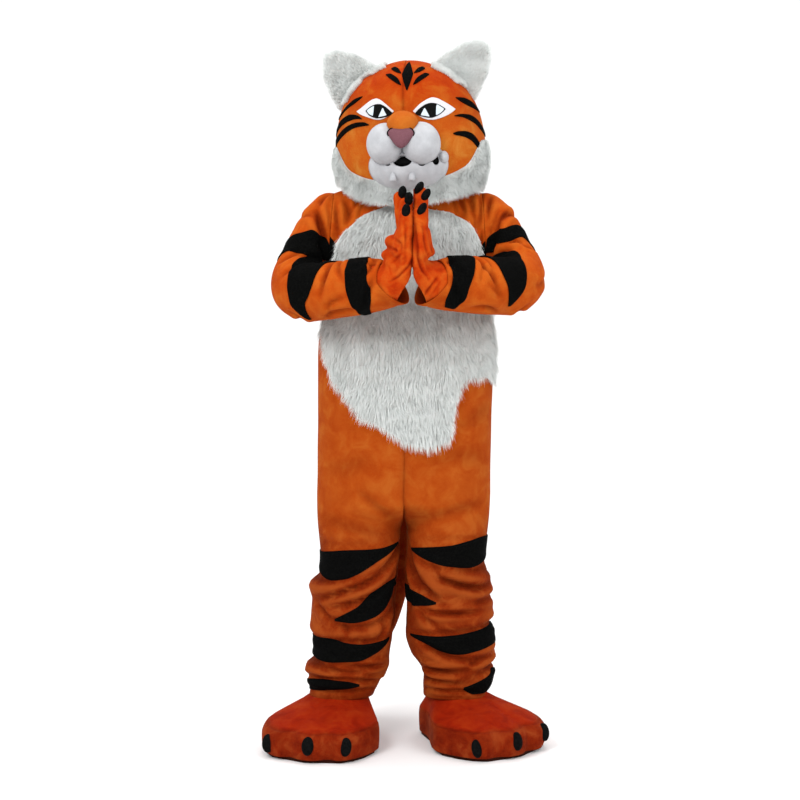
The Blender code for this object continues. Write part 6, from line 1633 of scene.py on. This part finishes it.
def finish_kept_nodes():
    """Better materials for the CAD nodes that stay."""
    for name, made in (("sole_left", SOLE), ("sole_right", SOLE), ("zip_tape", TAPE), ("zip_slider", METAL),
                       ("zip_pull", METAL)):
        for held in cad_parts[name].material_slots:
            held.link = "OBJECT"
            held.material = made


def make_zip_teeth():
    back, ways = panel_grid(1)
    place = suit_place(back)
    points, faces = [], []
    for number, height in enumerate(np.arange(*ZIP_TEETH)):
        if abs(height - SLIDER_GAP[0]) < SLIDER_GAP[1]:
            continue
        row, _ = place(0, height)
        at, above, out = (sampled(part, np.array([row + step]), np.zeros(1))[0]
                          for part, step in ((back, 0.0), (back, 0.5), (ways, 0.0)))
        up = unit(above - at)
        across = np.cross(up, out)
        centre = at + out * 0.0024 + across * (0.0011 if number % 2 else -0.0011)
        wide, high, deep = TOOTH_HALF
        start = len(points)
        points += [centre + across * x * wide + up * z * high + out * y * deep
                   for x in (-1, 1) for z in (-1, 1) for y in (-1, 1)]
        faces += [tuple(start + corner for corner in face) for face in BLOCK_FACES]
    points = np.array(points)
    piece("zip_teeth", swayed(points), faces, METAL, slot="zip_metal", soft=False)


# ---------------------------------------------------------------- the studio

def area_light(name, at, size, power):
    light = bpy.data.lights.new(name, "AREA")
    light.shape, light.size, light.energy = "DISK", size, power
    thing = bpy.data.objects.new(name, light)
    bpy.context.scene.collection.objects.link(thing)
    thing.location = at
    thing.rotation_euler = (Vector((0.0, 0.0, -0.55)) - Vector(at)).to_track_quat("-Z", "Y").to_euler()


def make_studio():
    """A paper sweep: its floor, a wide curve behind the costume, and its wall are one piece."""
    sweep_made = material("studio sweep", roughness=0.95, specular=0.05)
    shade(sweep_made, ramp(sweep_made, noise_of(sweep_made, 1.5), ((0.3, grey(0.93)), (0.7, grey(0.95)))))
    steps = [math.radians(step * 6) for step in range(16)]
    curve = [(2.5 + 3.0 * math.sin(angle), 3.0 - 3.0 * math.cos(angle)) for angle in steps]
    profile = [(-9.0, 0.0)] + curve + [(5.5, 9.0)]
    points = [(x, y, z + FLOOR) for y, z in profile for x in (-12.0, 12.0)]
    mesh = bpy.data.meshes.new("sweep")
    faces = [(row, row + 1, row + 3, row + 2) for row in range(0, 2 * len(profile) - 2, 2)]
    mesh.from_pydata(points, [], faces)
    mesh.shade_smooth()
    mesh.materials.append(sweep_made)
    sweep = bpy.data.objects.new("sweep", mesh)
    bpy.context.scene.collection.objects.link(sweep)
    world = bpy.data.worlds.new("studio")
    world.use_nodes = True
    world.node_tree.nodes["Background"].inputs["Color"].default_value = (1.0, 1.0, 1.0, 1.0)
    world.node_tree.nodes["Background"].inputs["Strength"].default_value = 0.85
    bpy.context.scene.world = world
    area_light("key", (-2.2, -3.2, 2.2), 2.2, 120)
    area_light("fill", (2.8, -2.6, 1.2), 2.6, 60)
    area_light("top", (0.0, 0.6, 2.8), 2.0, 50)
    camera = bpy.data.cameras.new("camera")
    camera.lens, camera.sensor_width = 76.5, 36.0
    thing = bpy.data.objects.new("camera", camera)
    bpy.context.scene.collection.objects.link(thing)
    thing.location = (0.0, -4.6, 1.30 + FLOOR)
    facing = Vector((0.0, 0.0, 0.929 + FLOOR)) - thing.location
    thing.rotation_euler = facing.to_track_quat("-Z", "Y").to_euler()
    bpy.context.scene.camera = thing
    bpy.context.scene.view_settings.view_transform = "Standard"


SUIT = make_panels()
SLEEVES = make_sleeves()
make_stripes(SUIT, SLEEVES)
make_belly(SUIT)
HEAD_HALVES = make_head()
make_face(HEAD_HALVES)
make_muzzle()
make_ears(HEAD_HALVES)
make_ruff()
make_gloves()
make_feet()
make_tail()
make_zip_teeth()
finish_kept_nodes()
make_studio()
